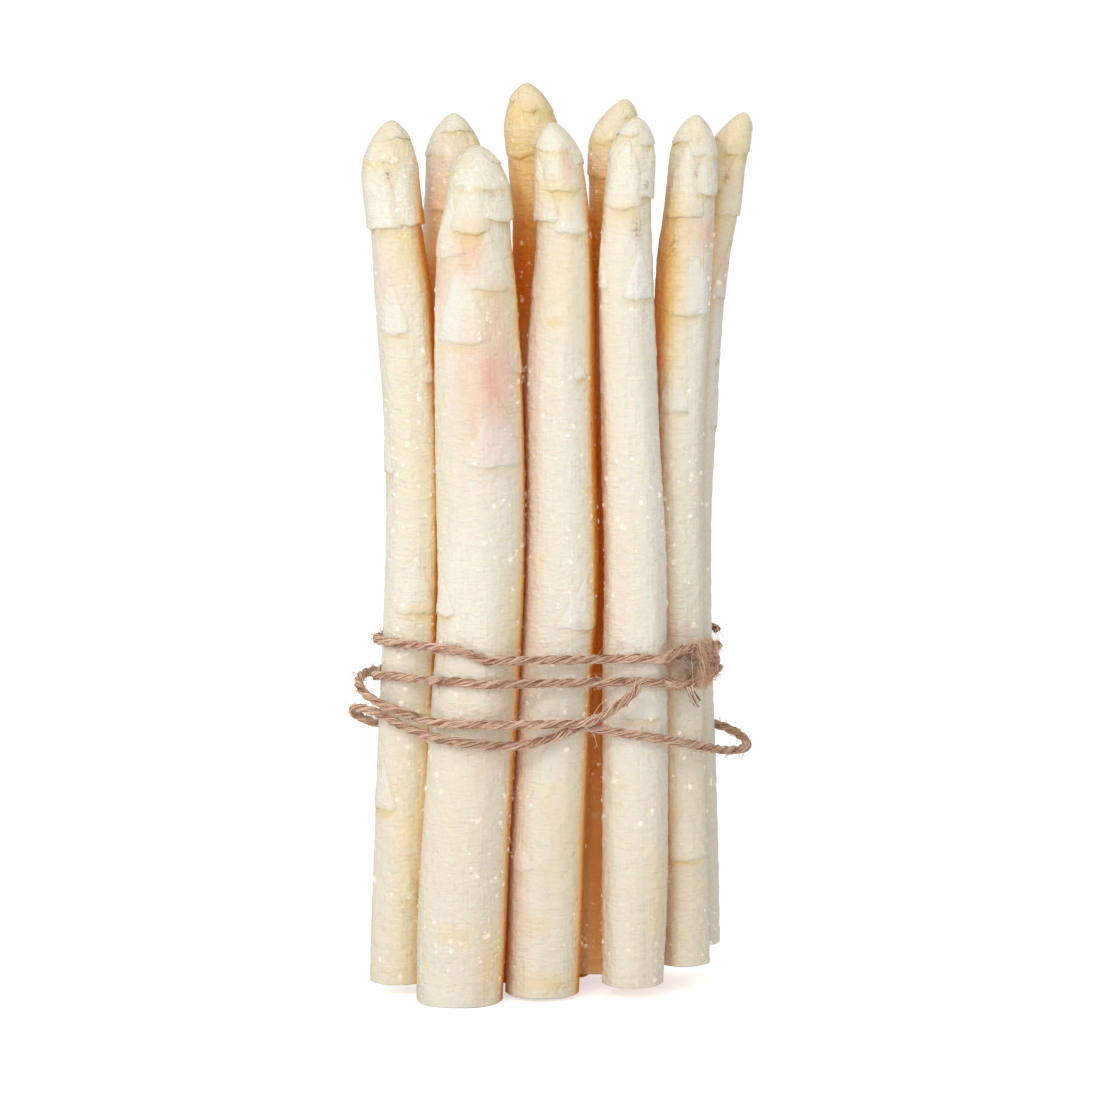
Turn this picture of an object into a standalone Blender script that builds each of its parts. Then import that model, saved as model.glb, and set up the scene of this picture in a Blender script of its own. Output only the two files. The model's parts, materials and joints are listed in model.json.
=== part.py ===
"""A bunch of twelve white asparagus spears that stands on its cut ends, tied with one length of jute twine.

Lengths are in metres unless a name or a comment says millimetres. +Z is up, -Y is the front, and the
origin is on the ground under the middle of the bunch.
"""

import math
from collections import namedtuple

import bmesh
import bpy
from mathutils import Vector
from mathutils.geometry import interpolate_bezier

MM = 0.001

# Spears. A trimmed spear is about 220 mm long, and 12 to 22 mm thick.
STEM_SIDES = 14
STEM_RINGS = 8  # between the cut and the bud
BUD_RINGS = 4
BUD_ROUNDNESS = 1.65
SKIN_ROUGHNESS = 0.35
SHARP_EDGE = 35  # degrees

# Scale leaves. Each is a three-cornered blade that clasps the stem.
SCALE_ROWS = (0.0, 0.32, 0.68)  # of a leaf's length, before its point
SCALE_COLUMNS = (-1.0, -0.5, 0.0, 0.5, 1.0)  # of half its width
SCALE_SEAT = 0.25  # mm, how far its margins stand off the stem
SCALE_BOLDNESS = 1.6  # the leaves stand out more than on a real spear, so that their edges show
CORNER_RISE = 0.05  # of its length, how much higher its base is at the corners than in the middle
MARGIN_BEND = 1.5  # the larger, the longer a leaf keeps its full width
MARGIN_FULLNESS = 0.9  # below 1 its sides bulge on the way to the point
THINNING = 0.5  # the share of its thickness lost from the base to the point
MARGIN_THINNING = 0.7  # the share lost from the middle to the margins
POINT_THICKNESS = 0.35
POINT_BELOW_TIP = 0.4  # mm, a leaf's point ends at least this far below the spear's tip
ROOT_PLACE = 0.45  # of its length, where the solid blade's root lies inside the stem

# Small scale leaves that close the bud, one golden angle apart.
GOLDEN_ANGLE = 137.5  # degrees
BUD_SCALES = ((4.5, 4.5), (7.0, 6.5), (10.5, 8.5))  # mm, base below the tip and length
BUD_SCALE_HALF_WIDTH = 62  # degrees
BUD_SCALE_LIFT = 0.55

# Twine. It is 2.8 mm thick, and its turns lie just off the stems.
TWINE_DIAMETER = 2.8 * MM
TURN_GAP = 0.8 * MM
TURN_STEP = 5  # degrees
TIGHT_STEP = 2.0 * TWINE_DIAMETER
LOOSE_STEP = 2.8 * TWINE_DIAMETER
CURVE_PIECES = 12  # between two of the places set by hand
JUTE_ROUGHNESS = 0.9

Spear = namedtuple("Spear", "name stations tip scales turn")

# A station is its height, x, y and the stem's radius, all in mm, from the cut end to the widest part of the
# bud. A scale leaf is, in mm and degrees: its base's distance below the tip, the way it faces (0 is the
# front, 90 is +X), half its width round the stem, its length, and how far its base stands out. The turn is
# the way the uppermost small scale leaf of the bud faces, in degrees.
SPEARS = [
    Spear(
        "spear_front_1",
        [(3, -39.9, -3.7, 7.4), (50, -38.0, -4.4, 7.4), (90, -36.4, -5, 7.3), (126, -35.1, -5, 7.3),
         (176, -37.8, -5, 7.3), (194, -39.8, -5, 6.5), (208, -41.3, -4.5, 6.9)],
        (-40.9, -4.5, 220.6),
        [(27, -50, 66, 23, 1.2), (26, 58, 62, 21, 1.0), (53, -27, 34, 15, 0.6), (65, 45, 20, 6, 0.9),
         (88, -80, 34, 12, 0.8), (123, 8, 42, 15, 0.7), (173, -55, 40, 14, 0.8), (196, 14, 20, 8, 0.4),
         (40, 185, 50, 16, 0.8), (100, 200, 40, 14, 0.7)],
        40,
    ),
    Spear(
        "spear_front_2",
        [(0, -24.3, -14.5, 10.9), (30, -23.3, -14.5, 11.1), (65, -21.2, -14.5, 10.9),
         (110, -18.8, -14.5, 10.8), (140, -19.1, -14.5, 11.0), (176, -19.8, -14.5, 10.2),
         (190, -20.2, -14.5, 9.2), (204, -19.3, -14.5, 7.6)],
        (-19.5, -14.5, 214.8),
        [(21.5, -9, 34, 17, 1.0), (18.5, 55, 50, 15, 1.1), (27.5, -58, 44, 17, 0.9), (35.5, 22, 42, 15, 1.0),
         (48.5, -22, 42, 20, 1.1), (56, 74, 22, 8, 0.8), (79, 26, 46, 18, 1.0), (116.5, -60, 26, 10, 1.1),
         (42, 150, 50, 18, 0.9), (30, 200, 50, 16, 0.9), (95, 150, 40, 18, 0.8)],
        100,
    ),
    Spear(
        "spear_front_3",
        [(1, -3.5, -9.3, 9.3), (34, -2.3, -9.3, 9.6), (72, -0.6, -9.3, 9.4), (108, 1.2, -9.3, 9.3),
         (127, 1.2, -9.3, 8.9), (158, 0.9, -9.3, 8.7), (190, 2.0, -9.5, 6.9), (210, 0.6, -10, 6.0)],
        (-0.8, -10.5, 220.3),
        [(17, 2, 46, 14, 0.9), (24.5, -55, 46, 16, 0.9), (27.5, 22, 44, 16, 1.0), (63.5, 37, 16, 4, 0.7),
         (126, 42, 52, 13, 1.0), (187, -46, 26, 8, 0.5), (36, 150, 50, 16, 0.8), (44, -95, 34, 12, 0.6),
         (80, 172, 34, 12, 0.5)],
        200,
    ),
    Spear(
        "spear_front_4",
        [(3.5, 19.3, -9.5, 7.8), (40, 20.0, -9.5, 8.3), (72, 19.9, -9.5, 8.2), (100, 19.9, -9.5, 8.0),
         (141, 18.6, -9.5, 7.3), (185, 17.4, -9.8, 6.7), (199, 17.6, -10, 6.0), (211, 18.6, -10.2, 5.8)],
        (20.0, -10.5, 221.6),
        [(22.5, -14, 52, 17, 0.9), (20, 66, 48, 14, 0.8), (42.5, -68, 26, 14, 0.7), (45, 32, 40, 13, 0.8),
         (33, 170, 52, 16, 0.8), (60, 130, 36, 12, 0.7), (150, 15, 40, 12, 0.4)],
        310,
    ),
    Spear(
        "spear_front_5",
        [(6.5, 32.4, 2.2, 6.9), (34, 31.7, 2.2, 6.9), (65, 30.5, 2.2, 6.9), (100, 30.3, 2.2, 6.8),
         (140, 30.4, 2.2, 6.8), (185, 32.3, 2.0, 7.0), (197, 33.2, 1.8, 6.4), (211, 34.2, 1.6, 5.9)],
        (35.0, 1.5, 221.8),
        [(25.5, -18, 52, 19, 0.9), (20, 55, 50, 15, 0.8), (50, 25, 62, 15, 0.9), (74.5, -12, 38, 13, 0.4),
         (34, 160, 52, 16, 0.8), (188, 12, 55, 13, 0.6)],
        150,
    ),
    Spear(
        "spear_middle_1",
        [(1, -28.5, 7.9, 7.6), (50, -27.6, 7.9, 7.6), (90, -27.0, 7.9, 7.5), (140, -26.8, 7.6, 7.5),
         (180, -26.9, 7.0, 7.4), (195, -26.2, 6.7, 7.0), (210, -25.6, 6.5, 7.1)],
        (-25.6, 6.2, 222.0),
        [(24, -20, 60, 20, 0.8), (18, 70, 52, 15, 0.8), (28, 175, 55, 18, 0.8), (42, 20, 46, 15, 0.7)],
        20,
    ),
    Spear(
        "spear_middle_2",
        [(1.5, -10.5, 6.2, 7.2), (50, -9.6, 6.2, 7.2), (90, -8.9, 6.2, 7.2), (140, -6.4, 6.2, 7.2),
         (168, -4.4, 6.2, 6.9), (194, -4.7, 6.1, 6.2), (208, -6.0, 6.0, 5.8), (218, -6.3, 6.0, 6.7)],
        (-7.3, 5.8, 229.6),
        [(18.5, -40, 50, 15, 0.7), (16, 45, 50, 14, 0.7), (24, 170, 58, 17, 0.8), (36.5, -10, 52, 14, 0.7),
         (52, 60, 40, 13, 0.6)],
        260,
    ),
    Spear(
        "spear_middle_3",
        [(4, 10.0, 5.7, 7.6), (50, 10.2, 5.7, 7.6), (90, 10.3, 5.7, 7.5), (125, 10.8, 5.7, 7.5),
         (175, 13.6, 5.7, 7.0), (198, 14.6, 5.5, 6.2), (214, 14.3, 5.0, 6.2)],
        (17.3, 4.5, 225.6),
        [(19.5, -40, 52, 16, 0.8), (16, 50, 50, 14, 0.8), (25, 170, 56, 17, 0.8), (38, -15, 48, 14, 0.7),
         (180, -5, 50, 12, 0.5)],
        70,
    ),
    Spear(
        "spear_middle_4",
        [(9, 35.7, 15.9, 6.3), (32, 35.4, 15.9, 6.3), (77, 33.9, 15.9, 6.3), (115, 33.2, 15.9, 6.2),
         (145, 35.0, 15.9, 5.9), (176, 37.2, 15.5, 5.6), (197, 40.8, 15.0, 5.4), (213, 44.0, 14.7, 4.8)],
        (47.4, 14.5, 222.0),
        [(26, 40, 58, 18, 0.8), (20, -45, 50, 15, 0.7), (23, 150, 52, 15, 0.7), (47, 60, 46, 14, 0.6),
         (80, 85, 34, 10, 0.6)],
        120,
    ),
    Spear(
        "spear_back_1",
        [(0, -17.5, 19.6, 6.9), (90, -17.0, 19.6, 6.9), (150, -18.5, 19.6, 6.6), (187, -19.6, 19.6, 5.8)],
        (-19.6, 19.6, 198.0),
        [(22, 150, 58, 17, 0.8), (18, 30, 50, 14, 0.8), (25, 260, 50, 15, 0.7), (48, 190, 46, 15, 0.7),
         (85, 165, 44, 14, 0.8), (150, 200, 40, 13, 0.7)],
        0,
    ),
    Spear(
        "spear_back_2",
        [(0, 1.5, 19.2, 7.2), (90, 1.5, 18.8, 7.1), (150, 1.6, 18.8, 6.8), (189, 1.8, 18.6, 6.0)],
        (1.6, 18.6, 200.0),
        [(21, 180, 58, 17, 0.8), (18, 60, 50, 14, 0.8), (26, 290, 50, 15, 0.7), (44, 140, 46, 15, 0.7),
         (70, 195, 44, 14, 0.8), (136, 170, 40, 13, 0.7)],
        50,
    ),
    Spear(
        "spear_back_3",
        [(0, 20.2, 18.2, 6.9), (90, 19.7, 18.0, 6.9), (150, 18.5, 19.0, 6.6), (189, 17.4, 19.4, 5.8)],
        (17.2, 19.4, 201.0),
        [(23, 120, 58, 17, 0.8), (18, 240, 50, 14, 0.8), (24, 0, 50, 14, 0.7), (52, 175, 46, 15, 0.7),
         (100, 150, 44, 14, 0.8), (168, 185, 40, 13, 0.7)],
        90,
    ),
]

# The twine's tight turns: degrees round the bunch from the front towards +X, and the height in mm. They
# start behind the right side, go once round, cross the front twice and end behind.
TIGHT_TURNS = [(100, 90.0), (200, 91.0), (270, 90.6), (340, 90.2), (375, 87.4), (450, 86.0), (540, 84.4),
               (630, 81.3), (700, 82.4), (760, 81.0), (810, 80.2), (870, 79.2)]

# The loose part of the twine, by hand, x, y and height in mm: down behind, round the left side, across the
# front, out in a bight on the right, back behind, and across the front again to a frayed end.
LOOSE_TWINE = [
    (14, 28.2, 77.8), (-4, 29.4, 75.0), (-18, 29.6, 71.5), (-30, 22.0, 68.5), (-38, 13.0, 66.6),
    (-45.5, 3.0, 68.0), (-50.6, -2.5, 71.0), (-50.4, -7.0, 73.2), (-45.6, -10.8, 72.8), (-39.2, -15.8, 70.3),
    (-32.2, -22.9, 68.6), (-27.2, -26.7, 67.9), (-21.3, -28.4, 67.4), (-11.0, -25.6, 66.4),
    (-1.5, -22.2, 67.6), (6.0, -21.0, 70.4), (13.0, -20.6, 69.4), (22.0, -19.9, 68.0), (30.0, -14.0, 65.8),
    (37.0, -5.4, 63.2), (43.5, 4.0, 60.8), (48.4, 11.0, 60.4), (48.2, 16.5, 61.8), (43.5, 23.0, 63.8),
    (33.0, 28.4, 65.6), (18.0, 31.4, 67.6), (2.0, 33.0, 70.0), (-14.0, 32.6, 74.0), (-28.0, 26.0, 77.5),
    (-39.0, 14.5, 80.0), (-47.4, 3.5, 81.0), (-49.8, -4.0, 79.4), (-47.0, -11.0, 76.6),
    (-39.4, -16.9, 74.0), (-30.6, -24.2, 72.2), (-25.6, -27.2, 72.1), (-19.8, -28.2, 72.1),
    (-9.4, -25.2, 71.6), (0.6, -23.2, 71.5), (8.2, -23.9, 72.2), (14.0, -24.3, 75.2), (19.0, -24.2, 79.2),
    (20.6, -23.9, 81.2),
]

# The knot: a strand of the twine that goes over both tight turns at the front right, in mm.
KNOT_STRAND = [(36.2, -9.6, 90.2), (37.3, -10.8, 87.2), (37.6, -11.0, 83.6), (37.9, -10.6, 80.0),
               (38.3, -9.4, 76.4)]
KNOT_DIAMETER = 3.6 * MM

IVORY = (0.86, 0.76, 0.58)
JUTE = (0.50, 0.34, 0.23)


def make_material(name, color, roughness):
    material = bpy.data.materials.new(name)
    material.use_nodes = True
    shader = material.node_tree.nodes["Principled BSDF"]
    shader.inputs["Base Color"].default_value = (*color, 1.0)
    shader.inputs["Roughness"].default_value = roughness
    shader.inputs["Metallic"].default_value = 0.0
    return material


def smooth_value(keys, at):
    """A smooth value at 'at' through keys, which are (place, value) with rising places, without overshoot."""
    places = [k[0] for k in keys]
    values = [k[1] for k in keys]
    if at <= places[0]:
        return values[0]
    if at >= places[-1]:
        return values[-1]
    i = next(k for k in range(len(keys) - 1) if places[k + 1] >= at)
    rises = [(values[k + 1] - values[k]) / (places[k + 1] - places[k]) for k in range(len(keys) - 1)]

    def slope(k):
        if k == 0 or k == len(keys) - 1:
            return rises[0] if k == 0 else rises[-1]
        before, after = rises[k - 1], rises[k]
        return 0.0 if before * after <= 0 else 2 * before * after / (before + after)

    span = places[i + 1] - places[i]
    t = (at - places[i]) / span
    start, end = slope(i) * span, slope(i + 1) * span
    return (
        (2 * t**3 - 3 * t**2 + 1) * values[i]
        + (t**3 - 2 * t**2 + t) * start
        + (3 * t**2 - 2 * t**3) * values[i + 1]
        + (t**3 - t**2) * end
    )


def spear_middle(spear, height):
    """x and y of the spear's middle at a height, in mm."""
    stations = [*spear.stations, (spear.tip[2], spear.tip[0], spear.tip[1], 0)]
    return [smooth_value([(s[0], s[k]) for s in stations], height) for k in (1, 2)]


def spear_radius(spear, height):
    """The radius of the stem or bud at a height, in mm. The bud closes to its tip on an oval."""
    widest = spear.stations[-1][0]
    if height <= widest:
        return smooth_value([(s[0], s[3]) for s in spear.stations], height)
    share = min(1.0, (height - widest) / (spear.tip[2] - widest))
    return spear.stations[-1][3] * (1 - share**BUD_ROUNDNESS) ** (1 / BUD_ROUNDNESS)


def spear_point(spear, height, facing, outside=0.0):
    """A point on the spear's surface, or 'outside' mm off it, in metres. 'facing' is in degrees."""
    x, y = spear_middle(spear, height)
    radius = spear_radius(spear, height) + outside
    turn = math.radians(facing)
    return Vector((x + radius * math.sin(turn), y - radius * math.cos(turn), height)) * MM


def mesh_object(name, mesh, material):
    mesh.materials.append(material)
    mesh.shade_smooth()
    mesh.set_sharp_from_angle(angle=math.radians(SHARP_EDGE))
    thing = bpy.data.objects.new(name, mesh)
    bpy.context.scene.collection.objects.link(thing)
    return thing


def closed_mesh(name, bm):
    bmesh.ops.recalc_face_normals(bm, faces=bm.faces)
    mesh = bpy.data.meshes.new(name)
    bm.to_mesh(mesh)
    bm.free()
    return mesh


def stem_mesh(spear):
    """The bare stem with its flat cut end and its closed bud."""
    foot, widest, tip = spear.stations[0][0], spear.stations[-1][0], spear.tip[2]
    heights = [foot + (widest - foot) * k / STEM_RINGS for k in range(STEM_RINGS + 1)]
    heights += [widest + (tip - widest) * math.sin(math.pi / 2 * k / BUD_RINGS) for k in range(1, BUD_RINGS)]
    bm = bmesh.new()
    rings = []
    for height in heights:
        points = [spear_point(spear, height, 360 * k / STEM_SIDES) for k in range(STEM_SIDES)]
        rings.append([bm.verts.new(p) for p in points])
    for low, high in zip(rings, rings[1:]):
        bmesh.ops.bridge_loops(bm, edges=ring_edges(bm, low) + ring_edges(bm, high))
    bm.faces.new(rings[0])
    top = bm.verts.new(Vector(spear.tip) * MM)
    for k in range(STEM_SIDES):
        bm.faces.new((rings[-1][k], rings[-1][(k + 1) % STEM_SIDES], top))
    return closed_mesh(spear.name, bm)


def ring_edges(bm, ring):
    pairs = zip(ring, ring[1:] + ring[:1])
    return [bm.edges.get(pair) or bm.edges.new(pair) for pair in pairs]


def scale_mesh(spear, below_tip, facing, half_width, length, stands_out):
    """One scale leaf, as a solid wedge rooted in the spear's middle: thick at its base, thin at its point,
    and with its base a little lower in the middle than at its corners."""
    bottom = spear.tip[2] - below_tip
    bm = bmesh.new()
    rows = []
    for share in SCALE_ROWS:
        width = half_width * (1 - share**MARGIN_BEND) ** MARGIN_FULLNESS
        row = []
        for across in SCALE_COLUMNS:
            height = bottom + length * (share + CORNER_RISE * (1 - share) * across**2)
            thickness = stands_out * (1 - THINNING * share) * (1 - MARGIN_THINNING * across**2)
            lift = SCALE_SEAT + SCALE_BOLDNESS * thickness
            row.append(bm.verts.new(spear_point(spear, height, facing + width * across, lift)))
        rows.append(row)
    point_height = min(bottom + length, spear.tip[2] - POINT_BELOW_TIP)
    point_lift = SCALE_SEAT + POINT_THICKNESS * stands_out
    point = bm.verts.new(spear_point(spear, point_height, facing, point_lift))
    last = len(SCALE_COLUMNS) - 1
    for low, high in zip(rows, rows[1:]):
        for k in range(last):
            bm.faces.new((low[k], low[k + 1], high[k + 1], high[k]))
    for k in range(last):
        bm.faces.new((rows[-1][k], rows[-1][k + 1], point))
    root_height = bottom + ROOT_PLACE * length
    root = bm.verts.new(Vector((*spear_middle(spear, root_height), root_height)) * MM)
    rim = rows[0] + [row[last] for row in rows[1:]] + [point] + [row[0] for row in rows[:0:-1]]
    for a, b in zip(rim, rim[1:] + rim[:1]):
        bm.faces.new((a, root, b))
    bmesh.ops.triangulate(bm, faces=bm.faces[:])
    return closed_mesh(f"{spear.name}_scale", bm)


def bud_scales(spear):
    """The small overlapping scale leaves that close the bud, as (base below the tip, facing, half width,
    length, how far it stands out)."""
    return [
        (below_tip, spear.turn + k * GOLDEN_ANGLE, BUD_SCALE_HALF_WIDTH, length, BUD_SCALE_LIFT)
        for k, (below_tip, length) in enumerate(BUD_SCALES)
    ]


def make_spear(spear, material):
    body = mesh_object(spear.name, stem_mesh(spear), material)
    leaves = bpy.data.collections.new(f"{spear.name}_scales")
    bpy.context.scene.collection.children.link(leaves)
    for leaf in [*spear.scales, *bud_scales(spear)]:
        mesh = scale_mesh(spear, *leaf)
        mesh.materials.append(material)
        leaves.objects.link(bpy.data.objects.new(f"{spear.name}_scale", mesh))
    union = body.modifiers.new("scale leaves", "BOOLEAN")
    union.operation = "UNION"
    union.operand_type = "COLLECTION"
    union.collection = leaves
    union.solver = "MANIFOLD"  # the leaves' blades cross each other
    grown = bpy.data.meshes.new_from_object(body.evaluated_get(bpy.context.evaluated_depsgraph_get()))
    body.modifiers.clear()
    body.data = grown
    for leaf in list(leaves.objects):
        bpy.data.objects.remove(leaf)
    bpy.data.collections.remove(leaves)
    return body


def turn_point(facing, height, gap):
    """Where twine drawn tight round the stems, 'gap' off them, lies at 'facing' degrees, in metres."""
    turn = math.radians(facing)
    out = Vector((math.sin(turn), -math.cos(turn)))

    def reach(spear):
        return Vector(spear_middle(spear, height)).dot(out) + spear_radius(spear, height)

    outer = max(SPEARS, key=reach)
    x, y = spear_middle(outer, height)
    away = spear_radius(outer, height) + (TWINE_DIAMETER / 2 + gap) / MM
    return Vector((x + away * out.x, y + away * out.y, height)) * MM


def evenly_spaced(fine, step):
    """Points 'step' apart along the run of points 'fine'."""
    lengths = [0.0]
    for a, b in zip(fine, fine[1:]):
        lengths.append(lengths[-1] + (b - a).length)
    count = max(2, round(lengths[-1] / step))
    route, i = [], 0
    for k in range(count + 1):
        at = lengths[-1] * k / count
        while i < len(lengths) - 2 and lengths[i + 1] < at:
            i += 1
        share = (at - lengths[i]) / (lengths[i + 1] - lengths[i])
        route.append(fine[i].lerp(fine[i + 1], min(1.0, share)))
    return route


def smooth_route(points, step):
    """Points 'step' apart on a smooth curve through 'points'."""
    fine = []
    for i in range(len(points) - 1):
        before = points[i - 1] if i else points[0]
        after = points[i + 2] if i + 2 < len(points) else points[-1]
        a, b = points[i], points[i + 1]
        leaving, arriving = a + (b - before) / 6, b - (after - a) / 6
        fine += interpolate_bezier(a, leaving, arriving, b, CURVE_PIECES + 1)[:-1]
    fine.append(points[-1])
    return evenly_spaced(fine, step)


def twine_route():
    """The twine from end to end: the tight turns, then the loose part."""
    facings = range(TIGHT_TURNS[0][0], TIGHT_TURNS[-1][0] + 1, TURN_STEP)
    turns = [turn_point(f, smooth_value(TIGHT_TURNS, f), TURN_GAP) for f in facings]
    loose = smooth_route([turns[-1]] + [Vector(p) * MM for p in LOOSE_TWINE], LOOSE_STEP)
    return evenly_spaced(turns, TIGHT_STEP) + loose[1:]


def tube(name, route, diameter, material):
    curve = bpy.data.curves.new(name, "CURVE")
    curve.dimensions = "3D"
    curve.bevel_depth = diameter / 2
    curve.bevel_resolution = 2
    curve.use_fill_caps = True
    spline = curve.splines.new("POLY")
    spline.points.add(len(route) - 1)
    for point, place in zip(spline.points, route):
        point.co = (*place, 1.0)
    curve.materials.append(material)
    thing = bpy.data.objects.new(name, curve)
    bpy.context.scene.collection.objects.link(thing)
    return thing


def main():
    for thing in list(bpy.data.objects):
        bpy.data.objects.remove(thing, do_unlink=True)
    for spear in SPEARS:
        make_spear(spear, make_material(spear.name, IVORY, SKIN_ROUGHNESS))
    jute = make_material("jute", JUTE, JUTE_ROUGHNESS)
    tube("twine", twine_route(), TWINE_DIAMETER, jute)
    knot = smooth_route([Vector(p) * MM for p in KNOT_STRAND], TWINE_DIAMETER)
    tube("twine_knot", knot, KNOT_DIAMETER, jute)


main()
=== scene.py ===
"""A bunch of twelve white asparagus spears, moist from washing, tied with one length of jute twine. It stands on
its cut ends on a white table in soft daylight from the front left. Metres, +Z up, -Y towards the viewer."""

import json
import math
from collections import namedtuple

import bmesh
import bpy
import numpy as np
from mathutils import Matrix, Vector

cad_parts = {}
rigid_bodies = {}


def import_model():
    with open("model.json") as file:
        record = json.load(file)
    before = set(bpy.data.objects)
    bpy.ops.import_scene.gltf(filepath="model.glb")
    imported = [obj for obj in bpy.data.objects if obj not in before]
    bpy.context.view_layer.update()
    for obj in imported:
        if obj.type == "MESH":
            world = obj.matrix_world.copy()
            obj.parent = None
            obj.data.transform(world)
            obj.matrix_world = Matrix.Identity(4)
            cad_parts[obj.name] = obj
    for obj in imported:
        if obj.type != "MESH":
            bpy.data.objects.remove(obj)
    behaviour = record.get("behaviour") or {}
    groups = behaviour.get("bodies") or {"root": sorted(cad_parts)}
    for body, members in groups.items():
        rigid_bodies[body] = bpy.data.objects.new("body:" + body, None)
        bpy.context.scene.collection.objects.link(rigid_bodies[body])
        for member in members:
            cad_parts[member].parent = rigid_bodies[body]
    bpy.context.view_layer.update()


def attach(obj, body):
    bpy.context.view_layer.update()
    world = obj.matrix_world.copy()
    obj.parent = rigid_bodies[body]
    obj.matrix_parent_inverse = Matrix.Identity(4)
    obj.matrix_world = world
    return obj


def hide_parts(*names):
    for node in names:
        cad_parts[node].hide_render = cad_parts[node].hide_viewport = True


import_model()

# The spears: twelve shoots of white asparagus, grown under earth, so ivory, with pink where light reached them.
# Each is a fleshy stem with clasping three-cornered scale leaves, wide apart low down and closed over each other
# at the bud. They are cut square at the foot and held together by nothing but the twine.

MM = 0.001
Spear = namedtuple("Spear", "name stations tip scales turn marks")

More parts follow.
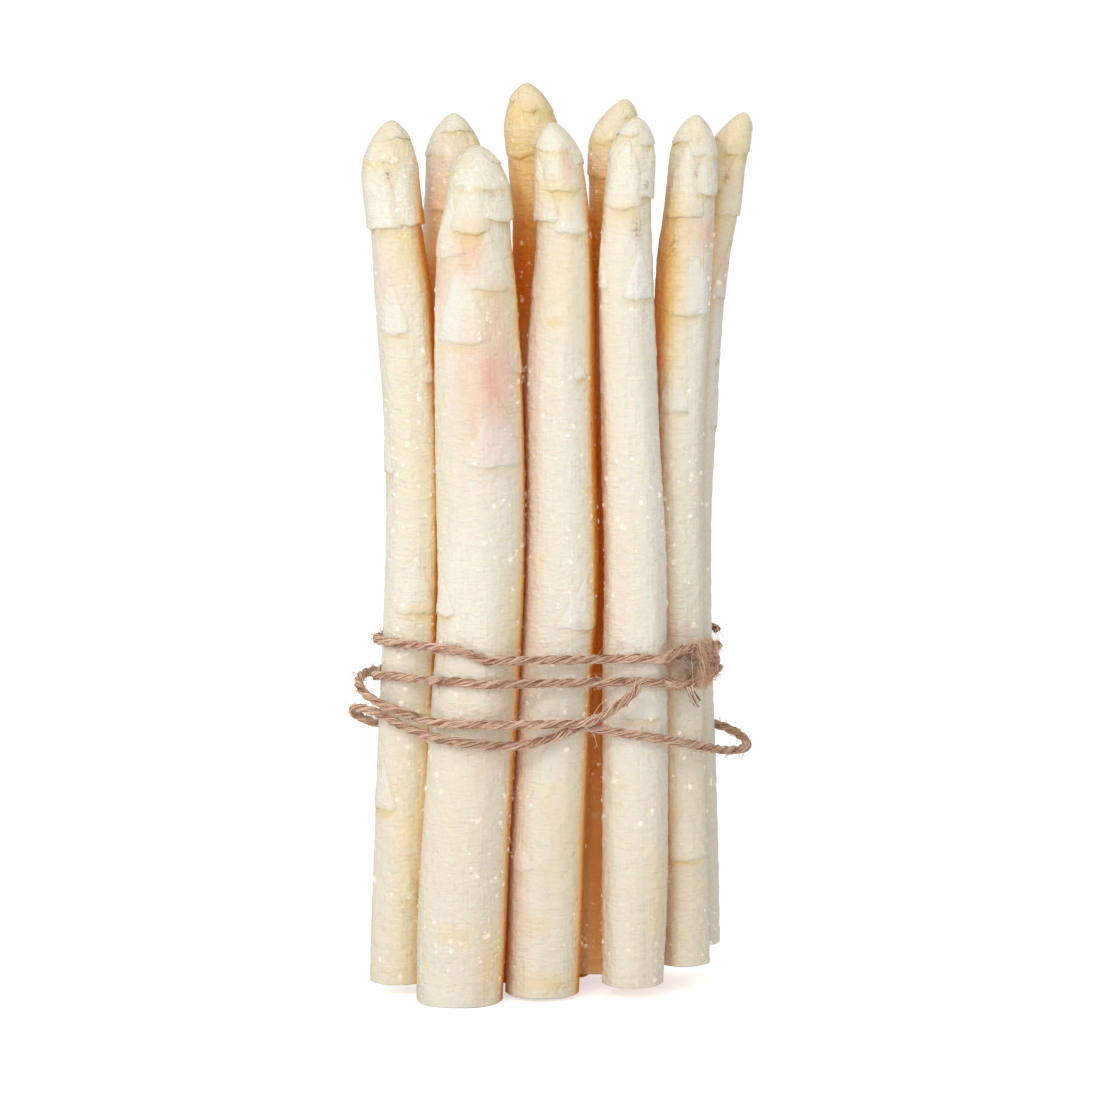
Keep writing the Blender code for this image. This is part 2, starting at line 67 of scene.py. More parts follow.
# A station is its height, x, y and the stem's radius, all in mm, from the cut end to the widest part of the
# bud. A scale leaf is, in mm and degrees: its base's distance below the tip, the way it faces (0 is the
# front, 90 is +X), half its width round the stem, its length, and how far its base stands out. 'turn' is the
# way the bud's first small leaf faces. A mark of the skin is its height and facing, its half height and half
# width, in mm and degrees, and its strength. Blushes are pink and ochres yellow. Bruises are brown: knocks, slug
# bites and rust. One more kind of mark is painted shade and painted glow: the orange of the skin behind the
# front row, where light comes only through the flesh.
SPEARS = [
    Spear(
        "spear_front_1",
        [(3, -39.9, -3.7, 7.4), (50, -38.0, -4.4, 7.4), (90, -36.4, -5, 7.3), (126, -35.1, -5, 7.3),
         (176, -37.8, -5, 7.3), (194, -39.8, -5, 6.5), (208, -41.3, -4.5, 6.9)],
        (-40.9, -4.5, 220.6),
        [(27, -50, 66, 23, 1.2), (26, 58, 62, 21, 1.0), (53, -27, 34, 15, 0.6), (65, 45, 20, 6, 0.9),
         (88, -80, 34, 12, 0.8), (123, 8, 42, 15, 0.7), (173, -55, 40, 14, 0.8), (196, 14, 20, 8, 0.4),
         (40, 185, 50, 16, 0.8), (100, 200, 40, 14, 0.7)],
        40,
        {
            "blush": [(182, -50, 8, 40, 0.3)],
            "ochre": [(186, 30, 8, 60, 0.5), (214, 20, 8, 90, 0.3), (120, 50, 30, 30, 0.3),
                      (98, 15, 2.2, 35, 0.75), (47, -42, 1.6, 28, 0.7), (24, 32, 2.4, 22, 0.7),
                      (60, 30, 20, 25, 0.35), (30, 35, 40, 55, 0.45), (192, 25, 2.0, 50, 0.6),
                      (210.0, 8, 3, 18, 0.4)],
            "bruise": [(207.5, -2, 1.1, 5, 1.0), (202, -42, 0.7, 18, 0.35), (26, 45, 0.6, 8, 0.4)],
        },
    ),
    Spear(
        "spear_front_2",
        [(0, -24.3, -14.5, 10.9), (30, -23.3, -14.5, 11.1), (65, -21.2, -14.5, 10.9),
         (110, -18.8, -14.5, 10.8), (140, -19.1, -14.5, 11.0), (176, -19.8, -14.5, 10.2),
         (190, -20.2, -14.5, 9.2), (204, -19.3, -14.5, 7.6)],
        (-19.5, -14.5, 214.8),
        [(21.5, -9, 34, 17, 1.0), (18.5, 55, 50, 15, 1.1), (27.5, -58, 44, 17, 0.9),
         (35.5, 22, 42, 15, 1.0), (48.5, -22, 42, 20, 1.1), (56, 74, 22, 8, 0.8), (79, 26, 46, 18, 1.0),
         (116.5, -60, 26, 10, 1.1), (42, 150, 50, 18, 0.9), (30, 200, 50, 16, 0.9), (95, 150, 40, 18, 0.8)],
        100,
        {
            "blush": [(156, 20, 17, 45, 1.0), (183, -70, 7, 25, 0.8), (188, -8, 7, 24, 0.75),
                      (174, 25, 8, 34, 0.4), (60, 40, 25, 40, 0.2)],
            "ochre": [(191, -8, 6, 26, 0.75), (175, 30, 8, 32, 0.6), (88, 50, 22, 30, 0.3),
                      (12, 45, 10, 18, 0.5), (179, 40, 2.0, 40, 0.55), (165, -20, 1.0, 45, 0.5)],
            "bruise": [(203, 26, 1.6, 10, 0.35)],
        },
    ),
    Spear(
        "spear_front_3",
        [(1, -3.5, -9.3, 9.3), (34, -2.3, -9.3, 9.6), (72, -0.6, -9.3, 9.4), (108, 1.2, -9.3, 9.3),
         (127, 1.2, -9.3, 8.9), (158, 0.9, -9.3, 8.7), (190, 2.0, -9.5, 6.9), (210, 0.6, -10, 6.0)],
        (-0.8, -10.5, 220.3),
        [(17, 2, 46, 14, 0.9), (24.5, -55, 46, 16, 0.9), (27.5, 22, 44, 16, 1.0), (63.5, 37, 16, 4, 0.7),
         (126, 42, 52, 13, 1.0), (187, -46, 26, 8, 0.5), (36, 150, 50, 16, 0.8), (44, -95, 34, 12, 0.6),
         (80, 172, 34, 12, 0.5)],
        200,
        {
            "blush": [(210, 20, 4, 16, 0.8)],
            "ochre": [(202, -10, 5, 60, 0.6), (183, 10, 12, 50, 0.25), (40, 30, 16, 40, 0.3),
                      (171, -12, 1.4, 16, 0.65), (129, 48, 1.2, 14, 0.5), (20, -8, 3.0, 24, 0.6),
                      (5, 5, 3.0, 40, 0.5)],
            "bruise": [(96, 30, 0.8, 8, 0.3), (4, 25, 1.6, 10, 0.35)],
        },
    ),
    Spear(
        "spear_front_4",
        [(3.5, 19.3, -9.5, 7.8), (40, 20.0, -9.5, 8.3), (72, 19.9, -9.5, 8.2), (100, 19.9, -9.5, 8.0),
         (141, 18.6, -9.5, 7.3), (185, 17.4, -9.8, 6.7), (199, 17.6, -10, 6.0), (211, 18.6, -10.2, 5.8)],
        (20.0, -10.5, 221.6),
        [(22.5, -14, 52, 17, 0.9), (20, 66, 48, 14, 0.8), (42.5, -68, 26, 14, 0.7), (45, 32, 40, 13, 0.8),
         (33, 170, 52, 16, 0.8), (60, 130, 36, 12, 0.7), (150, 15, 40, 12, 0.4)],
        310,
        {
            "blush": [(140, -70, 12, 30, 0.7), (105, -40, 26, 35, 0.25)],
            "ochre": [(198, -10, 4, 60, 0.4), (26, 60, 12, 35, 0.5)],
            "bruise": [(194, 25, 2.8, 14, 0.6), (205, 42, 0.9, 6, 1.0)],
        },
    ),
    Spear(
        "spear_front_5",
        [(6.5, 32.4, 2.2, 6.9), (34, 31.7, 2.2, 6.9), (65, 30.5, 2.2, 6.9), (100, 30.3, 2.2, 6.8),
         (140, 30.4, 2.2, 6.8), (185, 32.3, 2.0, 7.0), (197, 33.2, 1.8, 6.4), (211, 34.2, 1.6, 5.9)],
        (35.0, 1.5, 221.8),
        [(25.5, -18, 52, 19, 0.9), (20, 55, 50, 15, 0.8), (50, 25, 62, 15, 0.9), (74.5, -12, 38, 13, 0.4),
         (34, 160, 52, 16, 0.8), (188, 12, 55, 13, 0.6)],
        150,
        {
            "blush": [(192, 45, 6, 30, 0.7)],
            # On the left side at 174 mm the ochre is partly painted shade, made stronger where the spear in front
            # at the left keeps the light off.
            "ochre": [(193, -40, 11, 50, 0.85), (45, 0, 45, 90, 0.2), (33, 0, 0.7, 60, 0.6),
                      (174, -38, 24, 34, 1.3), (140, -45, 30, 26, 0.5)],
            "bruise": [(189, -30, 5.0, 12, 0.55), (207.5, 8, 0.8, 6, 0.8), (100, 10, 0.5, 8, 0.3)],
            "painted_shade_behind": [(178, -52, 24, 32, 0.3)],
        },
    ),
    Spear(
        "spear_middle_1",
        [(1, -28.5, 7.9, 7.6), (50, -27.6, 7.9, 7.6), (90, -27.0, 7.9, 7.5), (140, -26.8, 7.6, 7.5),
         (180, -26.9, 7.0, 7.4), (195, -26.2, 6.7, 7.0), (210, -25.6, 6.5, 7.1)],
        (-25.6, 6.2, 222.0),
        [(24, -20, 60, 20, 0.8), (18, 70, 52, 15, 0.8), (28, 175, 55, 18, 0.8), (42, 20, 46, 15, 0.7)],
        20,
        {
            "blush": [(206, -30, 8, 40, 0.5)],
            "ochre": [(205, 40, 12, 60, 0.3)],
            "painted_shade_behind": [(186, 15, 16, 90, 0.42)],
        },
    ),
    Spear(
        "spear_middle_2",
        [(1.5, -10.5, 6.2, 7.2), (50, -9.6, 6.2, 7.2), (90, -8.9, 6.2, 7.2), (140, -6.4, 6.2, 7.2),
         (168, -4.4, 6.2, 6.9), (194, -4.7, 6.1, 6.2), (208, -6.0, 6.0, 5.8), (218, -6.3, 6.0, 6.7)],
        (-7.3, 5.8, 229.6),
        [(18.5, -40, 50, 15, 0.7), (16, 45, 50, 14, 0.7), (24, 170, 58, 17, 0.8), (36.5, -10, 52, 14, 0.7),
         (52, 60, 40, 13, 0.6)],
        260,
        {
            "ochre": [(205, 0, 40, 400, 0.95)],
            "bruise": [(222.5, 12, 0.7, 5, 1.0), (197.5, 10, 0.5, 10, 0.9)],
            "painted_shade_behind": [(182, 0, 22, 400, 0.52)],
        },
    ),
    Spear(
        "spear_middle_3",
        [(4, 10.0, 5.7, 7.6), (50, 10.2, 5.7, 7.6), (90, 10.3, 5.7, 7.5), (125, 10.8, 5.7, 7.5),
         (175, 13.6, 5.7, 7.0), (198, 14.6, 5.5, 6.2), (214, 14.3, 5.0, 6.2)],
        (17.3, 4.5, 225.6),
        [(19.5, -40, 52, 16, 0.8), (16, 50, 50, 14, 0.8), (25, 170, 56, 17, 0.8), (38, -15, 48, 14, 0.7),
         (180, -5, 50, 12, 0.5)],
        70,
        {
            "ochre": [(205, 20, 24, 400, 0.5)],
            "painted_shade_behind": [(186, -10, 22, 400, 0.5), (45, 8, 75, 50, 0.45)],
        },
    ),
    Spear(
        "spear_middle_4",
        [(9, 35.7, 15.9, 6.3), (32, 35.4, 15.9, 6.3), (77, 33.9, 15.9, 6.3), (115, 33.2, 15.9, 6.2),
         (145, 35.0, 15.9, 5.9), (176, 37.2, 15.5, 5.6), (197, 40.8, 15.0, 5.4), (213, 44.0, 14.7, 4.8)],
        (47.4, 14.5, 222.0),
        [(26, 40, 58, 18, 0.8), (20, -45, 50, 15, 0.7), (23, 150, 52, 15, 0.7), (47, 60, 46, 14, 0.6),
         (80, 85, 34, 10, 0.6)],
        120,
        {
            "blush": [(184, 60, 6, 40, 0.7)],
            "ochre": [(208, 0, 20, 200, 0.5)],
            "bruise": [(159, 62, 0.8, 8, 1.0), (205.5, 5, 1.0, 8, 0.8)],
        },
    ),
    Spear(
        "spear_back_1",
        [(0, -17.5, 19.6, 6.9), (90, -17.0, 19.6, 6.9), (150, -18.5, 19.6, 6.6), (187, -19.6, 19.6, 5.8)],
        (-19.6, 19.6, 198.0),
        [(22, 150, 58, 17, 0.8), (18, 30, 50, 14, 0.8), (25, 260, 50, 15, 0.7), (48, 190, 46, 15, 0.7),
         (85, 165, 44, 14, 0.8), (150, 200, 40, 13, 0.7)],
        0,
        {},
    ),
    Spear(
        "spear_back_2",
        [(0, 1.5, 19.2, 7.2), (90, 1.5, 18.8, 7.1), (150, 1.6, 18.8, 6.8), (189, 1.8, 18.6, 6.0)],
        (1.6, 18.6, 200.0),
        [(21, 180, 58, 17, 0.8), (18, 60, 50, 14, 0.8), (26, 290, 50, 15, 0.7), (44, 140, 46, 15, 0.7),
         (70, 195, 44, 14, 0.8), (136, 170, 40, 13, 0.7)],
        50,
        {},
    ),
    Spear(
        "spear_back_3",
        [(0, 20.2, 18.2, 6.9), (90, 19.7, 18.0, 6.9), (150, 18.5, 19.0, 6.6), (189, 17.4, 19.4, 5.8)],
        (17.2, 19.4, 201.0),
        [(23, 120, 58, 17, 0.8), (18, 240, 50, 14, 0.8), (24, 0, 50, 14, 0.7), (52, 175, 46, 15, 0.7),
         (100, 150, 44, 14, 0.8), (168, 185, 40, 13, 0.7)],
        90,
        {},
    ),
]


def along(keys, at):
    """Smooth values at the places 'at' through keys, which are (place, value), without overshoot."""
    places, values = (np.array(c, float) for c in zip(*keys))
    rises = np.diff(values) / np.diff(places)
    slopes = np.concatenate([rises[:1], np.zeros(len(keys) - 2), rises[-1:]])
    before, after = rises[:-1], rises[1:]
    same = before * after > 0
    slopes[1:-1][same] = 2 * before[same] * after[same] / (before + after)[same]
    at = np.clip(at, places[0], places[-1])
    i = np.clip(np.searchsorted(places, at, side="left") - 1, 0, len(keys) - 2)
    span = places[i + 1] - places[i]
    t = (at - places[i]) / span
    return (
        (2 * t**3 - 3 * t**2 + 1) * values[i]
        + (t**3 - 2 * t**2 + t) * slopes[i] * span
        + (3 * t**2 - 2 * t**3) * values[i + 1]
        + (t**3 - t**2) * slopes[i + 1] * span
    )


def spear_middle(spear, height):
    """x and y of the spear's middle at each height, in mm."""
    stations = [*spear.stations, (spear.tip[2], spear.tip[0], spear.tip[1], 0)]
    return [along([(s[0], s[k]) for s in stations], height) for k in (1, 2)]


BUD_ROUNDNESS = 1.65  # 1 closes the bud to a cone, 2 to a half oval


def spear_radius(spear, height):
    """The radius of the stem or bud at each height, in mm."""
    widest = spear.stations[-1][0]
    stem = along([(s[0], s[3]) for s in spear.stations], height)
    share = np.clip((height - widest) / (spear.tip[2] - widest), 0, 1)
    return stem * (1 - share**BUD_ROUNDNESS) ** (1 / BUD_ROUNDNESS)


WIDE_FLUTE, NARROW_FLUTE, BUMP, RIPPLE, DENT = 0.10, 0.06, 0.16, 0.05, 0.04  # mm
SMOOTH_BUD = 30  # mm below the tip, over which the skin evens out


def skin_swell(spear, height, facing):
    """How far the living skin swells and sinks off the true round, in mm: shallow flutes and slow bumps, with
    fine ripples and dents over them, other ones on every spear."""
    turn = np.radians(facing)
    own = spear.turn / 57
    flutes = WIDE_FLUTE * np.sin(5 * turn + own * 3 + height * 0.012)
    flutes = flutes + NARROW_FLUTE * np.sin(9 * turn - own + height * 0.02)
    bumps = BUMP * np.sin(height * 0.09 + own * 5 + 1.5 * np.sin(turn + own)) * np.cos(turn * 2 + height * 0.03)
    ripples = RIPPLE * np.sin(height * 1.1 + 2 * np.sin(2 * turn + own)) * np.cos(3 * turn + own * 2)
    dents = DENT * np.sin(height * 2.1 + own + 3 * np.sin(turn - own)) * np.sin(4 * turn + height * 0.15)
    fade = np.clip((spear.tip[2] - height) / SMOOTH_BUD, 0, 1)
    return (flutes + bumps + ripples + dents) * fade


def skin_points(spear, height, facing, outside=0.0):
    """Points on the spear's skin, or 'outside' mm off it, in metres."""
    height, facing = np.broadcast_arrays(np.asarray(height, float), np.asarray(facing, float))
    x, y = spear_middle(spear, height)
    radius = spear_radius(spear, height) + skin_swell(spear, height, facing) + outside
    turn = np.radians(facing)
    return np.stack([x + radius * np.sin(turn), y - radius * np.cos(turn), height], -1) * MM


def grid_faces(rows, columns, closed):
    """Quads between neighbouring rows of a grid of points."""
    faces = []
    for r in range(rows - 1):
        for c in range(columns if closed else columns - 1):
            n = (c + 1) % columns
            faces.append((r * columns + c, r * columns + n, (r + 1) * columns + n, (r + 1) * columns + c))
    return faces


def mesh_from(name, points, faces):
    """A mesh whose faces all point outwards."""
    mesh = bpy.data.meshes.new(name)
    mesh.from_pydata([tuple(p) for p in points], [], faces)
    mesh.validate()
    bm = bmesh.new()
    bm.from_mesh(mesh)
    bmesh.ops.recalc_face_normals(bm, faces=bm.faces)
    bm.to_mesh(mesh)
    bm.free()
    return mesh


STEM_STEP = 0.95  # mm between the rows of a stem's mesh
BUD_ROWS = 16
COLUMNS, COLUMNS_HIDDEN = 66, 36  # points round a stem, and round one at the back
CUT_RIM = 0.25, 0.35  # mm, height and depth of the cut's rounded rim
FIRST_ROW = 0.8  # mm above the cut


def stem_mesh(spear, columns):
    """The stem from its cut end to the tip of its bud."""
    foot, widest, tip = spear.stations[0][0], spear.stations[-1][0], spear.tip[2]
    rows = max(8, round((widest - foot) / STEM_STEP))
    closing = np.sin(np.pi / 2 * np.linspace(0, 1, BUD_ROWS)[1:-1])
    heights = np.concatenate([
        [foot, foot + CUT_RIM[0]], np.linspace(foot + FIRST_ROW, widest, rows), widest + (tip - widest) * closing,
    ])
    outside = np.zeros(len(heights))
    outside[0] = -CUT_RIM[1]
    facings = np.arange(columns) * 360 / columns
    points = skin_points(spear, heights[:, None], facings[None, :], outside[:, None]).reshape(-1, 3)
    faces = grid_faces(len(heights), columns, True)
    x, y = spear_middle(spear, np.array(float(foot)))
    points = np.vstack([points, np.array([[x, y, foot]]) * MM, np.array([spear.tip]) * MM])
    cut, top = len(points) - 2, len(points) - 1
    last = (len(heights) - 1) * columns
    for c in range(columns):
        faces.append((cut, (c + 1) % columns, c))
        faces.append((last + c, last + (c + 1) % columns, top))
    return mesh_from(spear.name, points, faces)


# A scale leaf's lip, from under its base up its outer face: mm above the base, and the share of its full lift.
LEAF_LIP = [(0.35, 0.05), (0.05, 0.42), (0.0, 0.72), (0.2, 0.92), (0.65, 1.0)]
BLADE_START = 1.2  # mm above the base, where the blade begins over the lip
LEAF_SEAT = 0.05  # mm, how far its margins stand off the stem
LEAF_LIFT, LEAF_LIFT_ON_STEM = 1.0, 0.42  # times how far it stands out, at the bud and on the open stem
LEAF_BOW = 0.045  # of its length, how much higher its base lies at the margins
LEAF_COLUMNS, LEAF_ROWS = 23, 18
BUD_SCALES = ((4.5, 4.5), (7.0, 6.5), (10.5, 8.5))  # mm, base below the tip and length of the small ones
BUD_SCALE_HALF_WIDTH, BUD_SCALE_OUT = 66, 0.36  # degrees, mm
GOLDEN_ANGLE = 137.5  # degrees from one scale leaf to the next round the bud


def bud_leaves(spear):
    """The small overlapping scale leaves that close the bud, one golden angle apart."""
    return [
        (below, spear.turn + k * GOLDEN_ANGLE, BUD_SCALE_HALF_WIDTH, length, BUD_SCALE_OUT)
        for k, (below, length) in enumerate(BUD_SCALES)
    ]


def closing_share(leaf):
    """1 for a leaf whose point ends within 2.4 mm of the tip and closes the bud, 0 from 10.4 mm down."""
    below_tip, length = leaf[0], leaf[3]
    return min(1.0, max(0.0, 1.3 - (below_tip - length) / 8))


def leaf_half_width(leaf, up):
    """Half the leaf's width, in degrees, at each share 'up' of its length: a broad one closes the bud."""
    closing = closing_share(leaf)
    return leaf[2] * (1 - up ** (1.15 + 0.75 * closing)) ** (0.95 - 0.2 * closing)


def leaf_mesh(spear, leaf):
    """One scale leaf: a fleshy three-cornered plate with a rounded lip at its base, thin at its margins and its
    point, closed inside the stem."""
    below_tip, facing, _, length, stands_out = leaf
    closing = closing_share(leaf)
    bottom = spear.tip[2] - below_tip
    lip_height, lip_rise = zip(*LEAF_LIP)
    share = np.concatenate([np.array(lip_height) / length, np.linspace(BLADE_START / length, 0.985, LEAF_ROWS)])
    rise = np.concatenate([lip_rise, np.ones(LEAF_ROWS)])
    across = np.sin(np.linspace(-np.pi / 2, np.pi / 2, LEAF_COLUMNS))
    v, u = share[:, None], across[None, :]
    ragged = 0.32 * (1 - v) * np.sin(u * 4.3 + facing) + 0.16 * (1 - v) * np.sin(u * 11 + 2 * facing)
    height = np.minimum(bottom + length * (v + LEAF_BOW * (1 - v) * u**2) + ragged, spear.tip[2] - 0.25)
    crown = (1 - 0.85 * np.abs(u) ** 2.6) * (1 - (0.6 + 0.35 * closing) * v)
    most = (LEAF_LIFT if closing else LEAF_LIFT_ON_STEM) * stands_out
    lift = (LEAF_SEAT + most * crown) * rise[:, None]
    points = skin_points(spear, height, facing + leaf_half_width(leaf, v) * u, lift)
    rows = len(points)
    faces = grid_faces(rows, LEAF_COLUMNS, False)
    point_height = np.array(min(bottom + length, spear.tip[2] - 0.2))
    point_out = LEAF_SEAT + 0.3 * stands_out * (1 - 0.9 * closing)
    point = skin_points(spear, point_height, np.array(float(facing)), point_out)
    heart_height = np.array(bottom + 0.42 * length)
    x, y = spear_middle(spear, heart_height)
    points = np.vstack([points.reshape(-1, 3), point[None, :], np.array([[x, y, heart_height]]) * MM])
    apex, heart = len(points) - 2, len(points) - 1
    last = (rows - 1) * LEAF_COLUMNS
    faces += [(last + c, last + c + 1, apex) for c in range(LEAF_COLUMNS - 1)]
    right = [r * LEAF_COLUMNS + LEAF_COLUMNS - 1 for r in range(1, rows)]
    left = [r * LEAF_COLUMNS for r in range(rows - 1, 0, -1)]
    rim = [*range(LEAF_COLUMNS), *right, apex, *left]
    faces += [(a, heart, b) for a, b in zip(rim, rim[1:] + rim[:1])]
    return mesh_from(f"{spear.name}_leaf", points, faces)


def grow_together(body, leaves):
    """Joins the leaves to their stem as one skin, with nothing left inside."""
    group = bpy.data.collections.new(f"{body.name}_leaves")
    bpy.context.scene.collection.children.link(group)
    for mesh in leaves:
        group.objects.link(bpy.data.objects.new(mesh.name, mesh))
    union = body.modifiers.new("leaves", "BOOLEAN")
    union.operation = "UNION"
    union.operand_type = "COLLECTION"
    union.collection = group
    union.solver = "MANIFOLD"
    grown = bpy.data.meshes.new_from_object(body.evaluated_get(bpy.context.evaluated_depsgraph_get()))
    body.modifiers.clear()
    body.data = grown
    for leaf in list(group.objects):
        bpy.data.objects.remove(leaf)
    bpy.data.collections.remove(group)


def marked(spear, kind, height, facing):
    """How strongly one kind of mark covers each place of the skin."""
    covered = np.zeros(len(height))
    for at, towards, high, wide, strength in spear.marks.get(kind, ()):
        turned = (facing - towards + 180) % 360 - 180
        reach = ((height - at) / high) ** 2 + (turned / wide) ** 2
        covered = np.maximum(covered, strength * np.exp(-reach))
    return covered


FAR_OFF = 60  # mm, over which a neighbouring spear stops shutting out the light


def sees_neighbour(places, neighbours, direction):
    """How near each place has a neighbouring spear when it looks level in a direction: 1 touching, 0 none."""
    nearness = np.zeros(len(places))
    looking = np.stack([np.sin(direction), -np.cos(direction)], -1)
    for middle, radius in neighbours:
        to = middle - places
        ahead = (to * looking).sum(-1)
        beside = (to**2).sum(-1) - ahead**2
        meets = (ahead > 0) & (beside < radius**2)
        gap = np.where(meets, ahead - np.sqrt(np.clip(radius**2 - beside, 0, None)), 1e3)
        nearness = np.maximum(nearness, np.exp(-np.clip(gap, 0, None) / FAR_OFF))
    return nearness


IN_THE_WAY = 0.1  # the nearness from which a neighbour takes the daylight
LIT_TOP = 25  # mm below the tip, where the light still reaches in between
LIGHT_ABOVE = 10  # mm, how much higher the neighbours are looked for, as the daylight slants down
# The ways that daylight comes from, in degrees: the front left, the right and the back.
DAYLIGHT_WAYS = [*range(-46, 11, 7), *range(88, 121, 8), *range(140, 221, 10)]
FULL_DAYLIGHT = 9  # ways, as many as come from the front left
LIT_FROM = -75  # degrees, the way of the brightest light
LEVEL_LOOKS = range(-75, 76, 15)  # degrees off the skin's own facing


def painted_crevice_shade(spear, places, height, facing):
    """How strongly shade is painted into the skin where it lies deep between the spears, out of the light: painted
    orange shade, standing in for light that reaches it only by way of other ivory skin."""
    others = [other for other in SPEARS if other.name != spear.name]
    level, above = (
        [(np.stack(spear_middle(other, height + up), -1), spear_radius(other, height + up)) for other in others]
        for up in (0, LIGHT_ABOVE)
    )
    turn = np.radians(facing)
    shut_in, whole = np.zeros(len(height)), 0.0
    for side in np.radians(np.array(LEVEL_LOOKS)):
        shut_in += np.cos(side) * sees_neighbour(places, level, turn + side)
        whole += np.cos(side)
    daylight = np.zeros(len(height))
    for way in np.radians(DAYLIGHT_WAYS):
        open_sky = 1 - (sees_neighbour(places, above, np.full(len(height), way)) > IN_THE_WAY)
        daylight += np.clip(np.cos(turn - way), 0, 1) * open_sky
    turned_away = 1 - np.clip(1.6 * np.cos(turn - math.radians(LIT_FROM)) - 0.3, 0, 1)
    below_bud = np.clip((spear.tip[2] - height) / LIT_TOP, 0.3, 1)
    dark = np.clip(1 - daylight / FULL_DAYLIGHT, 0, 1) ** 2
    return below_bud * turned_away * np.clip(shut_in / whole, 0, 1) ** 0.7 * dark


BLADE_WHITE = 0.75, 1.0  # how white a leaf's blade is, drawn for each leaf
RUST_STRENGTH = 0.35, 1.0  # how strong the rust and painted shade are under a leaf's base, drawn for each leaf
# The two bands under a leaf's base, rust and painted shade in one: mm below the base, half height in mm, strength.
RUST_LINE, RUST_SHADE = (0.3, 0.75, 1.0), (1.2, 1.8, 0.35)
MARGIN_SHADE, MARGIN_WIDTH = 0.4, 0.06  # a painted shade line along a leaf's margins: strength, and share of its half width
LIFTED_WHITE, LIFTED_BY = 0.6, 0.35  # how white skin is that stands this many mm off the stem
BUD_HEIGHT, FOOT_HEIGHT = 34, 90  # mm, over which the bud's cream and the foot's grey fade out


def paint_skin(body, spear, leaves, chance):
    """Writes where the skin is leaf, bud, pink, bruised or cut, where it is rusty with painted shade, and where
    shade is painted deep between the spears, for its material.
    """
    mesh = body.data
    co = np.empty(len(mesh.vertices) * 3)
    mesh.vertices.foreach_get("co", co)
    co = co.reshape(-1, 3) / MM
    height = co[:, 2]
    below = spear.tip[2] - height
    x, y = spear_middle(spear, height)
    off = np.stack([co[:, 0] - x, co[:, 1] - y], -1)
    facing = np.degrees(np.arctan2(off[:, 0], -off[:, 1]))
    outside = np.hypot(off[:, 0], off[:, 1]) - spear_radius(spear, height) - skin_swell(spear, height, facing)
    rust_and_shade = np.zeros(len(height))
    blade = np.zeros(len(height))
    for leaf in leaves:
        below_tip, towards, half_width, length, _ = leaf
        turned = ((facing - towards + 180) % 360 - 180) / half_width
        up = (below_tip - below) / length
        reach = np.abs(turned) * half_width / np.maximum(leaf_half_width(leaf, np.clip(up, 0, 1)), 0.5)
        inside = (up > -0.03) & (up < 1)
        blade = np.maximum(blade, inside * (reach < 1.03) * chance.uniform(*BLADE_WHITE))
        # Painted shade lines along the leaf's margins; under its base, rust and painted shade together.
        margin = inside * (up > 0.05) * np.exp(-(((reach - 1) / MARGIN_WIDTH) ** 2))
        rust_and_shade = np.maximum(rust_and_shade, MARGIN_SHADE * margin)
        under = below_tip - below - LEAF_BOW * length * np.clip(turned, -1, 1) ** 2
        line, shade = (
            strength * np.exp(-(((under + depth) / high) ** 2))
            for depth, high, strength in (RUST_LINE, RUST_SHADE)
        )
        band = line + shade * (under < 0.2)
        wide = np.clip(1.15 - np.abs(turned) ** 4, 0, 1)
        rust_and_shade = np.maximum(rust_and_shade, chance.uniform(*RUST_STRENGTH) * band * wide)
    blade = np.maximum(blade, LIFTED_WHITE * np.clip(outside / LIFTED_BY, 0, 1))
    # The marks behind the front row are painted shade and painted glow.
    painted_shade_behind = marked(spear, "painted_shade_behind", height, facing)
    # One of these masks is painted shade: deep between the spears, and where the marks behind the front row add
    # more.
    masks = {
        "leaf": blade * np.clip(1.2 - below / 150, 0.55, 1),  # whitest at the bud, duller low down
        "bud": np.clip(1 - below / BUD_HEIGHT, 0, 1),
        "crevice_shade": np.maximum(painted_crevice_shade(spear, co[:, :2], height, facing), painted_shade_behind),
        "foot": np.clip(1 - height / FOOT_HEIGHT, 0, 1),
        "rust_and_shade": np.clip(rust_and_shade, 0, 1),
        "cut": (height < spear.stations[0][0] + 0.1).astype(float),
        **{kind: marked(spear, kind, height, facing) for kind in ("ochre", "blush", "bruise")},
    }
    for name, values in masks.items():
        layer = mesh.attributes.new(name, "FLOAT", "POINT")
        layer.data.foreach_set("value", values.astype(np.float32))


def plug(tree, made, inputs):
    """Fills a node's inputs, by name or number: a socket is linked, a plain value is stored."""
    for name, value in dict(inputs).items():
        if isinstance(value, bpy.types.NodeSocket):
            tree.links.new(value, made.inputs[name])
        else:
            made.inputs[name].default_value = value


def node(tree, kind, inputs=(), **settings):
    made = tree.nodes.new(kind)
    for name, value in settings.items():
        setattr(made, name, value)
    plug(tree, made, inputs)
    return made


def calc(tree, operation, *values):
    """A Math node on sockets or plain values."""
    return node(tree, "ShaderNodeMath", enumerate(values), operation=operation).outputs[0]


def mix_color(tree, factor, a, b):
    return node(tree, "ShaderNodeMix", {0: factor, 6: a, 7: b}, data_type="RGBA").outputs[2]


def squeezed(tree, across, high=1):
    """Object coordinates, squeezed across and along the spear: the less, the longer the pattern that way."""
    place = node(tree, "ShaderNodeTexCoord").outputs["Object"]
    return node(tree, "ShaderNodeMapping", {"Vector": place, "Scale": (across, across, high)}).outputs["Vector"]


def noise(tree, vector, scale, detail=2, roughness=0.5):
    inputs = {"Vector": vector, "Scale": scale, "Detail": detail, "Roughness": roughness}
    return node(tree, "ShaderNodeTexNoise", inputs).outputs["Fac"]


